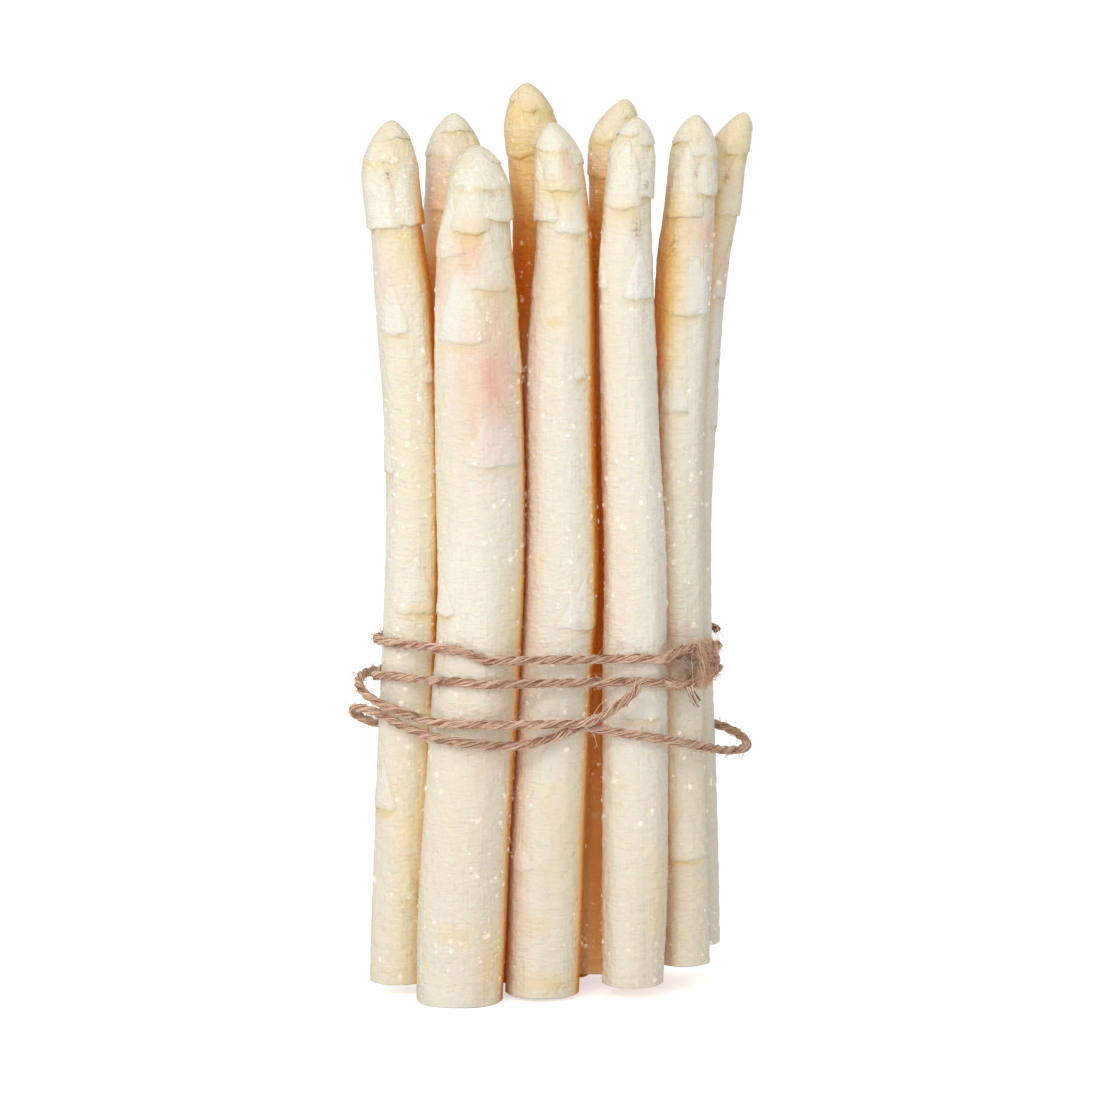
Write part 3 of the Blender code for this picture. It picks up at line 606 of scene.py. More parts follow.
def ramp(tree, value, start, end):
    """A value made 0 to 1 or so: start and end are (the value, what it becomes)."""
    made = node(tree, "ShaderNodeValToRGB", {0: value})
    for element, (place, shade) in zip(made.color_ramp.elements, (start, end)):
        element.position = place
        element.color = (shade, shade, shade, 1)
    return made.outputs[0]


def mask(tree, name):
    return node(tree, "ShaderNodeAttribute", attribute_name=name).outputs["Fac"]


def new_material(name):
    material = bpy.data.materials.new(name)
    material.use_nodes = True
    return material, material.node_tree, material.node_tree.nodes["Principled BSDF"]


IVORY = (0.94, 0.895, 0.80, 1)
CREAM = (0.91, 0.82, 0.64, 1)
LEAF_WHITE = (0.955, 0.93, 0.865, 1)
BUD_CREAM = (0.88, 0.80, 0.58, 1)
FOOT_GREY = (0.83, 0.76, 0.63, 1)
OCHRE = (0.92, 0.66, 0.25, 1)
# Painted shade between the spears: orange, and deep orange brown further in.
SHADED = (0.92, 0.55, 0.12, 1)
PAINTED_DEEP_SHADE = (0.62, 0.19, 0.008, 1)
PINK = (0.90, 0.57, 0.43, 1)
RUST_AND_SHADE = (0.76, 0.58, 0.20, 1)
BRUISE = (0.34, 0.18, 0.04, 1)
CUT_FLESH = (0.88, 0.80, 0.62, 1)
GLOW = (0.08, 0.018, 0.0005, 1)  # painted glow of the skin deep between the spears, standing in for light that comes through the flesh

# What tints the ivory skin, one tint over the other: its mask or None, its noise or None (squeezed across and
# along, scale, detail), where the noise or else the mask starts and ends to tint, and the colour.
SKIN_TINTS = [
    (None, (1, 0.35, 55, 3), (0.40, 0), (0.70, 0.8), CREAM),  # cloudy all over
    (None, (1, 0.05, 900, 2), (0.45, 0), (0.75, 0.4), CREAM),  # veins along the stem
    (None, (0.16, 1, 1500, 2), (0.42, 0), (0.66, 0.34), CREAM),  # fine wrinkles round it
    ("foot", (1, 1, 120, 3), (0.3, 0.5), (0.65, 1), FOOT_GREY),
    ("leaf", None, (0, 0), (1, 0.85), LEAF_WHITE),
    ("bud", (1, 1, 180, 3), (0, 0), (1, 1), BUD_CREAM),
    ("ochre", (1, 1, 150, 3), (0.25, 0.45), (0.65, 1), OCHRE),
    ("blush", (1, 0.3, 240, 4), (0.25, 0.45), (0.6, 1), PINK),
    # Painted shade where the skin lies deep between the spears or behind the front row: orange, then deep orange
    # brown.
    ("crevice_shade", None, (0.05, 0), (0.42, 0.95), SHADED),
    ("crevice_shade", None, (0.28, 0), (0.56, 1.0), PAINTED_DEEP_SHADE),
    # Rust with painted shade: under the leaves' bases and along their margins.
    ("rust_and_shade", (1, 1, 350, 4), (0.3, 0.15), (0.62, 0.7), RUST_AND_SHADE),
    ("foot", (1, 0.6, 130, 4), (0.60, 0), (0.72, 0.35), OCHRE),  # stains low down
    ("bruise", (1, 1, 1500, 2), (0.42, 0.12), (0.56, 1), BRUISE),
]
# The skin's relief: squeezed across and along, scale, and how strong beside the others.
SKIN_RELIEF = [(1, 0.05, 1400, 1), (0.25, 1, 1300, 1.6), (1, 1, 420, 2.4)]  # veins, wrinkles, pores
SKIN_ROUGHNESS = (0.35, 0.24), (0.7, 0.46)
SKIN_MOISTURE = 0.3


def asparagus_skin():
    """Moist skin that light goes a little way into, with orange shade and a faint glow painted on where it lies
    deep between other spears.
    """
    material, tree, shader = new_material("asparagus_skin")
    color = IVORY
    for mask_name, pattern, start, end, tint in SKIN_TINTS:
        if pattern:
            across, high, scale, detail = pattern
            share = ramp(tree, noise(tree, squeezed(tree, across, high), scale, detail), start, end)
            if mask_name:
                share = calc(tree, "MULTIPLY", mask(tree, mask_name), share)
        else:
            share = ramp(tree, mask(tree, mask_name), start, end)
        color = mix_color(tree, share, color, tint)
    fibres = ramp(tree, noise(tree, squeezed(tree, 1, 0.01), 1500), (0.4, 0), (0.7, 1))
    color = mix_color(tree, mask(tree, "cut"), color, mix_color(tree, fibres, CUT_FLESH, CREAM))

    relief = 0.0
    for across, high, scale, strength in SKIN_RELIEF:
        relief = calc(tree, "MULTIPLY_ADD", noise(tree, squeezed(tree, across, high), scale, 3), strength, relief)
    bump = node(tree, "ShaderNodeBump", {"Strength": 0.75, "Distance": 0.4 * MM, "Height": relief})
    # Painted glow and less sheen where shade is painted between the spears: the skin gives off a faint orange
    # light there and its coat fades.
    through = ramp(tree, mask(tree, "crevice_shade"), (0.08, 0), (0.55, 1))
    plug(tree, shader, {
        "Base Color": color,
        "Roughness": ramp(tree, noise(tree, squeezed(tree, 1), 70, 3), *SKIN_ROUGHNESS),
        "Normal": bump.outputs["Normal"],
        "Subsurface Weight": 0.3,
        "Subsurface Radius": (1.0, 0.55, 0.22),
        "Subsurface Scale": 3 * MM,
        "IOR": 1.4,
        "Coat Weight": calc(tree, "MULTIPLY_ADD", mask(tree, "crevice_shade"), -SKIN_MOISTURE, SKIN_MOISTURE),
        "Coat Roughness": 0.12,
        "Emission Color": mix_color(tree, through, (0, 0, 0, 1), GLOW),
        "Emission Strength": 1.0,
    })
    return material


SEEN = [spear for spear in SPEARS if not spear.name.startswith("spear_back")]
SKIN = asparagus_skin()
SHARP = 50  # degrees, edges of the leaves that stay sharp
chance = np.random.default_rng(7)
grown_spears = {}
for spear in SPEARS:
    columns = COLUMNS if spear in SEEN else COLUMNS_HIDDEN
    body = bpy.data.objects.new(f"{spear.name}_grown", stem_mesh(spear, columns))
    bpy.context.scene.collection.objects.link(body)
    leaves = [*spear.scales, *bud_leaves(spear)]
    grow_together(body, [leaf_mesh(spear, leaf) for leaf in leaves])
    body.data.materials.clear()
    body.data.materials.append(SKIN)
    body.data.shade_smooth()
    body.data.set_sharp_from_angle(angle=math.radians(SHARP))
    paint_skin(body, spear, leaves, chance)
    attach(body, "root")
    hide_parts(spear.name)
    grown_spears[spear.name] = body

# The drops of water left from washing, in patches on every spear that is seen: clear, low and round, a third
# of a millimetre across to a little over one. They lie square on the skin and let it show through.


def geometry_tree(name, inputs):
    """An empty Geometry Nodes tree with a geometry in and out, and named inputs given as (kind, value)."""
    tree = bpy.data.node_groups.new(name, "GeometryNodeTree")
    tree.interface.new_socket("Geometry", in_out="INPUT", socket_type="NodeSocketGeometry")
    for label, (kind, value) in inputs.items():
        socket = tree.interface.new_socket(label, in_out="INPUT", socket_type=f"NodeSocket{kind}")
        if value is not None:
            socket.default_value = value
    tree.interface.new_socket("Geometry", in_out="OUTPUT", socket_type="NodeSocketGeometry")
    return tree, tree.nodes.new("NodeGroupInput").outputs


def finish_tree(tree, geometry, material):
    """Ends a tree: its instances made real, and its material put on."""
    real = node(tree, "GeometryNodeRealizeInstances", {"Geometry": geometry}).outputs["Geometry"]
    dressed = node(tree, "GeometryNodeSetMaterial", {"Geometry": real, "Material": material}).outputs["Geometry"]
    node(tree, "NodeGroupOutput", {"Geometry": dressed})
    return tree


def run_tree(name, thing, tree, **inputs):
    """Runs a Geometry Nodes tree on an object and returns the result as a plain mesh object."""
    modifier = thing.modifiers.new(tree.name, "NODES")
    modifier.node_group = tree
    sockets = {s.name: s.identifier for s in tree.interface.items_tree if s.in_out == "INPUT"}
    for label, value in inputs.items():
        modifier[sockets[label.replace("_", " ")]] = value
    mesh = bpy.data.meshes.new_from_object(thing.evaluated_get(bpy.context.evaluated_depsgraph_get()))
    thing.modifiers.remove(modifier)
    made = bpy.data.objects.new(name, mesh)
    bpy.context.scene.collection.objects.link(made)
    return made


DROP_SEGMENTS, DROP_RINGS, DROP_HEIGHT = 8, 4, 0.5
WET_FROM, WET_TO = 0.42, 0.58  # of the noise that makes the patches


def water_beads_tree():
    """Sprinkles drops over a skin, in patches. Most are small, as their size is a random share to the fourth."""
    tree, given = geometry_tree("water_beads", {
        "Density": ("Float", 90000.0), "Spacing": ("Float", 0.8 * MM), "Smallest": ("Float", 0.17 * MM),
        "Spread": ("Float", 0.5 * MM), "Patch size": ("Float", 45.0), "Seed": ("Int", 1),
        "Material": ("Material", None),
    })
    patches = node(tree, "ShaderNodeTexNoise", {"Scale": given["Patch size"]}).outputs["Fac"]
    wet = node(tree, "ShaderNodeMapRange", {"Value": patches, "From Min": WET_FROM, "From Max": WET_TO})
    scattered = node(tree, "GeometryNodeDistributePointsOnFaces", {
        "Mesh": given["Geometry"], "Distance Min": given["Spacing"], "Density Max": given["Density"],
        "Density Factor": wet.outputs["Result"], "Seed": given["Seed"],
    }, distribute_method="POISSON").outputs
    lot = node(tree, "FunctionNodeRandomValue", {"Seed": given["Seed"]}, data_type="FLOAT").outputs[1]
    size = calc(tree, "MULTIPLY_ADD", calc(tree, "POWER", lot, 4.0), given["Spread"], given["Smallest"])
    ball = node(tree, "GeometryNodeMeshUVSphere", {"Segments": DROP_SEGMENTS, "Rings": DROP_RINGS, "Radius": 1.0})
    low = node(tree, "GeometryNodeTransform", {"Geometry": ball.outputs["Mesh"], "Scale": (1.0, 1.0, DROP_HEIGHT)})
    laid = node(tree, "GeometryNodeInstanceOnPoints", {
        "Points": scattered["Points"], "Instance": low.outputs["Geometry"], "Rotation": scattered["Rotation"],
        "Scale": size,
    }).outputs["Instances"]
    smooth = node(tree, "GeometryNodeSetShadeSmooth", {"Geometry": laid}).outputs["Geometry"]
    return finish_tree(tree, smooth, given["Material"])


WATER_IOR = 1.33
WATER_TONES = (1.0, 0.99, 0.96, 1), (0.98, 0.96, 0.92, 1)
WATER_CLEAR, WATER_RIM = 0.16, 0.4  # how much a drop covers the skin at its middle, and more at its rim
WATER_PAINTED_GLOW = 0.55


def clear_water():
    """Drops that let the skin show through, shine at their rims and throw no shadow, with a painted glow of their
    own so that they look no darker than the skin.
    """
    material, tree, shader = new_material("clear_water")
    rim = node(tree, "ShaderNodeFresnel", {"IOR": WATER_IOR}).outputs[0]
    lit_through = calc(tree, "SUBTRACT", 1.0, node(tree, "ShaderNodeLightPath").outputs["Is Shadow Ray"])
    clear = calc(tree, "MULTIPLY_ADD", rim, WATER_RIM, WATER_CLEAR)
    plug(tree, shader, {
        "Base Color": mix_color(tree, noise(tree, squeezed(tree, 1), 900), *WATER_TONES),
        "Alpha": calc(tree, "MULTIPLY", clear, lit_through),
        "Roughness": 0.08,
        "IOR": WATER_IOR,
        "Coat Weight": 1.0,
        "Coat Roughness": 0.05,
        # A painted glow: the drops give off a little light of their own.
        "Emission Color": (1.0, 0.97, 0.92, 1),
        "Emission Strength": WATER_PAINTED_GLOW,
    })
    return material


WATER = clear_water()
BEADS = water_beads_tree()
for spear in SEEN:
    drops = run_tree(f"{spear.name}_drops", grown_spears[spear.name], BEADS, Seed=spear.turn, Material=WATER)
    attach(drops, "root")
    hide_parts(spear.name)

# The twine: one length of jute, three loosely spun plies laid together, 2.8 mm thick. It goes round the bunch
# twice and a bit, drawn tight, then once more as a slack loop with a bight on each side, and ends frayed.

TWINE_DIAMETER = 2.8 * MM
TURN_STEP = 5  # degrees between the points of a tight turn
ROUTE_STEP = 1.5  # mm between the points of the whole route
# The tight turns: the way they face, in degrees from the front, and their height there in mm.
TIGHT_TURNS = [(100, 90.0), (200, 91.0), (270, 90.6), (340, 90.2), (375, 87.4), (450, 86.0), (540, 84.4),
               (630, 81.3), (700, 82.4), (760, 81.0), (810, 80.2), (870, 79.2)]
# The slack loop and the frayed end: points in mm.
LOOSE_TWINE = [
    (14, 28.2, 77.8), (-4, 29.4, 75.0), (-18, 29.6, 71.5), (-30, 22.0, 68.5), (-38, 13.0, 66.6),
    (-45.5, 3.0, 68.0), (-50.6, -2.5, 71.0), (-50.4, -7.0, 73.2), (-45.6, -10.8, 72.8), (-39.2, -15.8, 70.3),
    (-32.2, -22.9, 68.6), (-27.2, -26.7, 67.9), (-21.3, -28.4, 67.4), (-11.0, -25.6, 66.4),
    (-1.5, -22.2, 67.6), (6.0, -21.0, 70.4), (13.0, -20.6, 69.4), (22.0, -19.9, 68.0), (30.0, -14.0, 65.8),
    (37.0, -5.4, 63.2), (43.5, 4.0, 60.8), (48.4, 11.0, 60.4), (48.2, 16.5, 61.8), (43.5, 23.0, 63.8),
    (33.0, 28.4, 65.6), (18.0, 31.4, 67.6), (2.0, 33.0, 70.0), (-14.0, 32.6, 74.0), (-28.0, 26.0, 77.5),
    (-39.0, 14.5, 80.0), (-47.4, 3.5, 81.0), (-49.8, -4.0, 79.4), (-47.0, -11.0, 76.6), (-39.4, -16.9, 74.0),
    (-30.6, -24.2, 72.2), (-25.6, -27.2, 72.1), (-19.8, -28.2, 72.1), (-9.4, -25.2, 71.6), (0.6, -23.2, 71.5),
    (8.2, -23.9, 72.2), (14.0, -24.3, 75.2), (19.0, -24.2, 79.2), (20.6, -23.9, 81.2),
]


def turn_point(facing, height):
    """Where twine drawn tight round the stems lies at 'facing' degrees, in mm."""
    out = np.array([math.sin(math.radians(facing)), -math.cos(math.radians(facing))])
    level = np.array(float(height))
    stems = [(np.array(spear_middle(spear, level)), float(spear_radius(spear, level))) for spear in SPEARS]
    middle, radius = max(stems, key=lambda stem: stem[0] @ out + stem[1])
    return (*(middle + out * (radius + TWINE_DIAMETER / 2 / MM)), height)


def evenly(points, step):
    """Points 'step' apart along a run of points."""
    points = np.asarray(points, float)
    gone = np.concatenate([[0], np.cumsum(np.linalg.norm(np.diff(points, axis=0), axis=1))])
    at = np.linspace(0, gone[-1], max(2, round(gone[-1] / step)) + 1)
    return np.stack([np.interp(at, gone, points[:, k]) for k in range(3)], -1)


def rounded_run(points, each=12):
    """A smooth run through points, with 'each' steps from one to the next."""
    points = np.asarray(points, float)
    padded = np.vstack([points[:1], points, points[-1:]])
    run = []
    for a, b, c, d in zip(padded, padded[1:], padded[2:], padded[3:]):
        for t in np.linspace(0, 1, each, endpoint=False):
            bend = (2 * a - 5 * b + 4 * c - d) * t**2 + (3 * b - a - 3 * c + d) * t**3
            run.append(0.5 * (2 * b + (c - a) * t + bend))
    return np.vstack([run, points[-1:]])


def twine_route():
    """The twine's middle line from its hidden end to its frayed one, in metres."""
    facings = np.arange(TIGHT_TURNS[0][0], TIGHT_TURNS[-1][0] + 1, TURN_STEP)
    turns = [turn_point(f, h) for f, h in zip(facings, along(TIGHT_TURNS, facings.astype(float)))]
    loose = rounded_run([turns[-1], *LOOSE_TWINE])
    return evenly(np.vstack([turns, loose[1:]]), ROUTE_STEP) * MM


def vector_calc(tree, operation, *values, **scale):
    """A Vector Math node on sockets or plain values."""
    return node(tree, "ShaderNodeVectorMath", [*enumerate(values), *scale.items()], operation=operation).outputs[0]


def strand_along(tree, curve, radius):
    """A three-sided strand along a curve."""
    ring = node(tree, "GeometryNodeCurvePrimitiveCircle", {"Resolution": 3, "Radius": 1.0}).outputs["Curve"]
    inputs = {"Curve": curve, "Profile Curve": ring, "Scale": radius, "Fill Caps": True}
    return node(tree, "GeometryNodeCurveToMesh", inputs).outputs["Mesh"]


WANDER_SCALE, WANDER_APART = 330, 3.7  # of the noise that shakes the strands, and from strand to strand
STRAND_THIN, STRAND_SWELL = 0.55, 0.9  # of its radius, at its thinnest, and what the noise adds
TONE_APART, TONE_ALONG, TONE_SHIFT = 0.9, 1.6, -0.75  # the tone's change from strand to strand and along one


def spun_strands_tree():
    """Lays strands along a curve: each ply winds round the line, and the strands of a ply wind round the ply."""
    tree, given = geometry_tree("spun_strands", {
        "Plies": ("Int", 3), "Strands": ("Int", 11), "Ply offset": ("Float", 0.58 * MM),
        "Strand offset": ("Float", 0.52 * MM), "Strand radius": ("Float", 0.15 * MM),
        "Lay length": ("Float", -10.5 * MM), "Spin length": ("Float", -24 * MM),
        "Unevenness": ("Float", 0.6 * MM), "Step": ("Float", 1.05 * MM), "Material": ("Material", None),
    })
    steps = {"Curve": given["Geometry"], "Length": given["Step"]}
    even = node(tree, "GeometryNodeResampleCurve", steps, mode="LENGTH").outputs["Curve"]
    amount = calc(tree, "MULTIPLY", given["Plies"], given["Strands"])
    copies = node(tree, "GeometryNodeDuplicateElements", {"Geometry": even, "Amount": amount}, domain="SPLINE")
    index = copies.outputs["Duplicate Index"]
    ply = calc(tree, "FLOOR", calc(tree, "DIVIDE", index, given["Strands"]))
    strand = calc(tree, "MODULO", index, given["Strands"])
    length = node(tree, "GeometryNodeSplineParameter").outputs["Length"]
    tangent = node(tree, "GeometryNodeInputTangent").outputs[0]
    normal = node(tree, "GeometryNodeInputNormal").outputs[0]
    side = vector_calc(tree, "CROSS_PRODUCT", tangent, normal)

    def winding(pitch, place, places, radius):
        """How far off the line a strand lies that winds round it once in each pitch."""
        turns = calc(tree, "ADD", calc(tree, "DIVIDE", length, pitch), calc(tree, "DIVIDE", place, places))
        turn = calc(tree, "MULTIPLY", 2 * math.pi, turns)
        ways = [
            vector_calc(tree, "SCALE", way, Scale=calc(tree, "MULTIPLY", calc(tree, wave, turn), radius))
            for way, wave in ((normal, "COSINE"), (side, "SINE"))
        ]
        return vector_calc(tree, "ADD", *ways)

    wander = node(tree, "ShaderNodeTexNoise", {
        "Scale": WANDER_SCALE, "Detail": 2, "W": calc(tree, "MULTIPLY", index, WANDER_APART),
    }, noise_dimensions="4D").outputs
    either_way = vector_calc(tree, "SUBTRACT", wander["Color"], (0.5, 0.5, 0.5))
    shaken = vector_calc(tree, "SCALE", either_way, Scale=given["Unevenness"])
    round_line = winding(given["Lay length"], ply, given["Plies"], given["Ply offset"])
    round_ply = winding(given["Spin length"], strand, given["Strands"], given["Strand offset"])
    offset = vector_calc(tree, "ADD", round_line, vector_calc(tree, "ADD", round_ply, shaken))
    moved = node(tree, "GeometryNodeSetPosition", {"Geometry": copies.outputs["Geometry"], "Offset": offset})
    tone = node(tree, "ShaderNodeTexWhiteNoise", {"W": index}, noise_dimensions="1D").outputs["Value"]
    along_it = calc(tree, "MULTIPLY_ADD", wander["Fac"], TONE_ALONG, TONE_SHIFT)
    told = node(tree, "GeometryNodeStoreNamedAttribute", {
        "Geometry": moved.outputs["Geometry"], "Name": "strand",
        "Value": calc(tree, "MULTIPLY_ADD", tone, TONE_APART, along_it),
    }, data_type="FLOAT", domain="POINT").outputs["Geometry"]
    swelling = calc(tree, "MULTIPLY_ADD", wander["Fac"], STRAND_SWELL, STRAND_THIN)
    solid = strand_along(tree, told, calc(tree, "MULTIPLY", swelling, given["Strand radius"]))
    smooth = node(tree, "GeometryNodeSetShadeSmooth", {"Geometry": solid}).outputs["Geometry"]
    return finish_tree(tree, smooth, given["Material"])


def lay(name, lines, tree, **inputs):
    """Lays twine or fibres along lines, in metres, and returns them as one plain piece."""
    curve = bpy.data.curves.new("line", "CURVE")
    curve.dimensions = "3D"
    for line in lines:
        spline = curve.splines.new("POLY")
        spline.points.add(len(line) - 1)
        spline.points.foreach_set("co", np.hstack([line, np.ones((len(line), 1))]).ravel())
    thing = bpy.data.objects.new("line", curve)
    bpy.context.scene.collection.objects.link(thing)
    made = run_tree(name, thing, tree, **inputs)
    bpy.data.objects.remove(thing)
    return made


FIBRE_PALE = (0.96, 0.68, 0.50, 1)
STRAND_PALE = (1.0, 0.75, 0.57, 1)
JUTE_STAIN = (0.25, 0.12, 0.06, 1)


def jute_fibre(name, pale_tone, deep_tone):
    """Dry, dull fibre. Its strands differ in tone, some of them are stained, and all are flecked."""
    material, tree, shader = new_material(name)
    even = squeezed(tree, 1)
    strand = mask(tree, "strand")
    color = pale_tone
    for value, start, end, tint in (
        (noise(tree, even, 420, 4, 0.6), (0.3, 0), (0.7, 1), deep_tone),
        (noise(tree, even, 2600), (0.45, 0), (0.72, 0.8), FIBRE_PALE),
        (strand, (0.1, 0.9), (0.45, 0), deep_tone),
        (strand, (0.42, 0), (0.72, 0.9), STRAND_PALE),
        (noise(tree, even, 160), (0.64, 0), (0.74, 0.55), JUTE_STAIN),
    ):
        color = mix_color(tree, ramp(tree, value, start, end), color, tint)
    flecks = noise(tree, even, 3000, 3)
    bump = node(tree, "ShaderNodeBump", {"Strength": 0.5, "Distance": 0.2 * MM, "Height": flecks})
    plug(tree, shader, {"Base Color": color, "Normal": bump.outputs["Normal"], "Roughness": 0.9})
    return material


JUTE = jute_fibre("jute", (0.90, 0.60, 0.43, 1), (0.40, 0.18, 0.095, 1))
SPUN = spun_strands_tree()
route = twine_route()
twine = lay("twine_spun", [route], SPUN, Material=JUTE)
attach(twine, "root")
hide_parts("twine")

# The loose fibres of the twine: jute is spun from short fibres, and their pale ends stand off it everywhere,
# curved and crossing, up to a few millimetres long.

# Three bows of fibre for a length of one: where the middle and the end lie.
FIBRE_BOWS = [
    ((0.05, 0.0, 0.5), (0.28, 0.0, 1.0)),
    ((0.25, 0.1, 0.45), (0.05, 0.3, 1.0)),
    ((0.0, 0.2, 0.4), (0.45, -0.1, 0.75)),
]
SWING = 1.35  # radians, how far up and down the twine a fibre leans at most
LEAN_AND_TWIST = 0.6, 0.5  # radians, either way
FIBRE_LENGTHS = 0.35, 1.4  # times the length


def loose_fibres_tree():
    """Scatters short curved fibres along a curve: each starts on the twine's surface and bends away from it."""
    tree, given = geometry_tree("loose_fibres", {
        "Count": ("Int", 1700), "Start": ("Float", 1.1 * MM), "Length": ("Float", 3.1 * MM),
        "Fibre radius": ("Float", 0.045 * MM), "Seed": ("Int", 1), "Material": ("Material", None),
    })
    starts = {"Curve": given["Geometry"], "Count": given["Count"]}
    places = node(tree, "GeometryNodeCurveToPoints", starts, mode="COUNT")

    def lot(low, high, seed_step):
        seed = calc(tree, "ADD", given["Seed"], seed_step)
        return node(tree, "FunctionNodeRandomValue", {2: low, 3: high, "Seed": seed}, data_type="FLOAT").outputs[1]

    def turned(rotation, *angles):
        angle = node(tree, "ShaderNodeCombineXYZ", enumerate(angles)).outputs[0]
        by = node(tree, "FunctionNodeEulerToRotation", {0: angle}).outputs[0]
        return node(tree, "FunctionNodeRotateRotation", {0: rotation, 1: by}, rotation_space="LOCAL").outputs[0]

    rolled = turned(places.outputs["Rotation"], 0.0, 0.0, lot(0, 2 * math.pi, 11))
    outward = node(tree, "ShaderNodeCombineXYZ", {0: given["Start"]}).outputs[0]
    off = node(tree, "FunctionNodeRotateVector", {0: outward, 1: rolled}).outputs[0]
    moved = node(tree, "GeometryNodeSetPosition", {"Geometry": places.outputs["Points"], "Offset": off})
    swing = calc(tree, "MULTIPLY_ADD", calc(tree, "COSINE", lot(0, math.pi, 23)), -SWING, math.pi / 2)
    lean, twist = LEAN_AND_TWIST
    leaning = turned(rolled, lot(-lean, lean, 31), swing, lot(-twist, twist, 37))
    size = node(tree, "ShaderNodeCombineXYZ", {axis: given["Length"] for axis in range(3)}).outputs[0]
    bundle = node(tree, "GeometryNodeJoinGeometry")
    for middle, end in FIBRE_BOWS:
        bow = node(tree, "GeometryNodeCurveQuadraticBezier", {
            "Resolution": 4, "Start": (0, 0, 0), "Middle": middle, "End": end,
        }).outputs[0]
        sized = node(tree, "GeometryNodeTransform", {"Geometry": bow, "Scale": size}).outputs["Geometry"]
        solid = strand_along(tree, sized, given["Fibre radius"])
        single = node(tree, "GeometryNodeGeometryToInstance", {0: solid}).outputs[0]
        plug(tree, bundle, {0: single})
    laid = node(tree, "GeometryNodeInstanceOnPoints", {
        "Points": moved.outputs["Geometry"], "Instance": bundle.outputs[0], "Pick Instance": True,
        "Rotation": leaning, "Scale": lot(*FIBRE_LENGTHS, 41),
    })
    return finish_tree(tree, laid.outputs["Instances"], given["Material"])


# The short fibres are the same along the twine and at the knot.
FLYAWAY = jute_fibre("jute_flyaway", (0.98, 0.82, 0.66, 1), (0.80, 0.53, 0.35, 1))
LOOSE = loose_fibres_tree()
fuzz = {"Length": 1.7 * MM, "Fibre_radius": 0.05 * MM, "Material": FLYAWAY}
flyaways = lay("twine_flyaways", [route], LOOSE, Count=3300, Start=1.0 * MM, **fuzz)
long_fibres = lay("twine_long_fibres", [route], LOOSE, Count=260, Length=4.2 * MM, Seed=5, Material=FLYAWAY)
for piece in (flyaways, long_fibres):
    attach(piece, "root")
    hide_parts("twine")

# The stray hairs of the twine: single long fibres of jute that have worked loose. They lie on the spears beside
# the turns or stand off the frayed end.

HAIR_STEP = 0.8  # mm
STRAY_HAIRS = [
    [(-43.5, -9.5, 91.6), (-38.0, -13.2, 91.2), (-33.0, -18.5, 89.6), (-26.0, -27.2, 89.0), (-18.0, -27.6, 90.2),
     (-14.0, -26.6, 89.8)],
    [(-25.0, -26.6, 94.8), (-21.5, -26.8, 92.2), (-17.8, -26.6, 89.6)],
    [(-24.5, -28.4, 73.5), (-20.5, -28.9, 75.6), (-19.0, -28.9, 73.6), (-22.0, -28.8, 72.4)],
    [(20.0, -24.2, 80.6), (21.2, -24.6, 82.2), (21.8, -24.4, 84.0)],
    [(20.4, -23.8, 80.8), (22.0, -24.2, 81.8), (23.4, -23.8, 82.0)],
    [(20.2, -24.6, 80.2), (22.4, -24.6, 80.6), (24.4, -24.0, 79.6)],
    [(8.6, -24.6, 73.0), (11.0, -25.2, 76.8), (13.6, -25.2, 78.6)],
    [(19.4, -25.0, 80.0), (19.6, -25.2, 82.4), (20.6, -24.6, 84.6)],
    [(6.0, -24.6, 71.8), (9.2, -25.6, 69.4), (10.2, -24.8, 66.0)],
    [(18.6, -20.2, 84.4), (19.6, -20.4, 80.4), (20.4, -20.4, 77.0)],
    [(34.6, -11.0, 91.0), (34.0, -11.6, 86.0), (34.4, -12.0, 80.5)],
    [(36.4, -11.2, 93.5), (36.0, -12.4, 89.0), (37.2, -12.4, 84.0), (36.4, -12.6, 79.2)],
]


def pliant(points):
    """A hair or a strand through points in mm, as a smooth line in metres."""
    return evenly(rounded_run(points), HAIR_STEP) * MM


hairs = lay("twine_hairs", [pliant(hair) for hair in STRAY_HAIRS], SPUN, Plies=1, Strands=1, Ply_offset=0.0,
            Strand_offset=0.0, Strand_radius=0.08 * MM, Unevenness=0.2 * MM, Material=FLYAWAY)
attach(hairs, "root")
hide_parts("twine")

# The knot: the twine tied over both of its tight turns at the front right, a tight fuzzy lump with a few dark
# stained bristles under it. Two short runs go down over the turns and one goes round them.

KNOT_RUNS = [
    [(35.4, -9.0, 90.2), (36.6, -10.0, 87.2), (37.0, -10.0, 83.6), (36.6, -9.6, 80.4), (35.6, -9.2, 79.0)],
    [(38.6, -5.4, 90.0), (38.4, -7.4, 88.0), (37.4, -9.2, 85.0), (36.6, -9.8, 82.0), (35.8, -9.6, 80.0)],
    [(26.6, -16.4, 86.8), (29.6, -14.8, 88.2), (33.2, -10.9, 88.8), (37.0, -6.3, 88.4), (39.8, -2.9, 86.6),
     (40.3, -2.3, 84.2), (39.2, -3.7, 81.8), (36.2, -7.5, 80.0), (32.4, -11.9, 79.6), (29.4, -15.1, 80.2),
     (27.0, -16.8, 81.4)],
]
KNOT_BRISTLES = [
    [(32.6, -12.8, 79.4), (33.6, -13.4, 77.0), (35.0, -13.2, 74.6)],
    [(33.2, -12.6, 79.2), (34.4, -13.0, 76.8), (35.2, -12.8, 75.4)],
    [(33.8, -12.2, 79.4), (34.6, -12.8, 76.6), (35.8, -12.6, 74.2)],
    [(32.8, -12.6, 78.8), (33.2, -13.2, 77.0), (34.2, -13.2, 75.6)],
    [(34.2, -12.0, 79.0), (35.2, -12.4, 77.4), (36.2, -12.2, 75.8)],
]
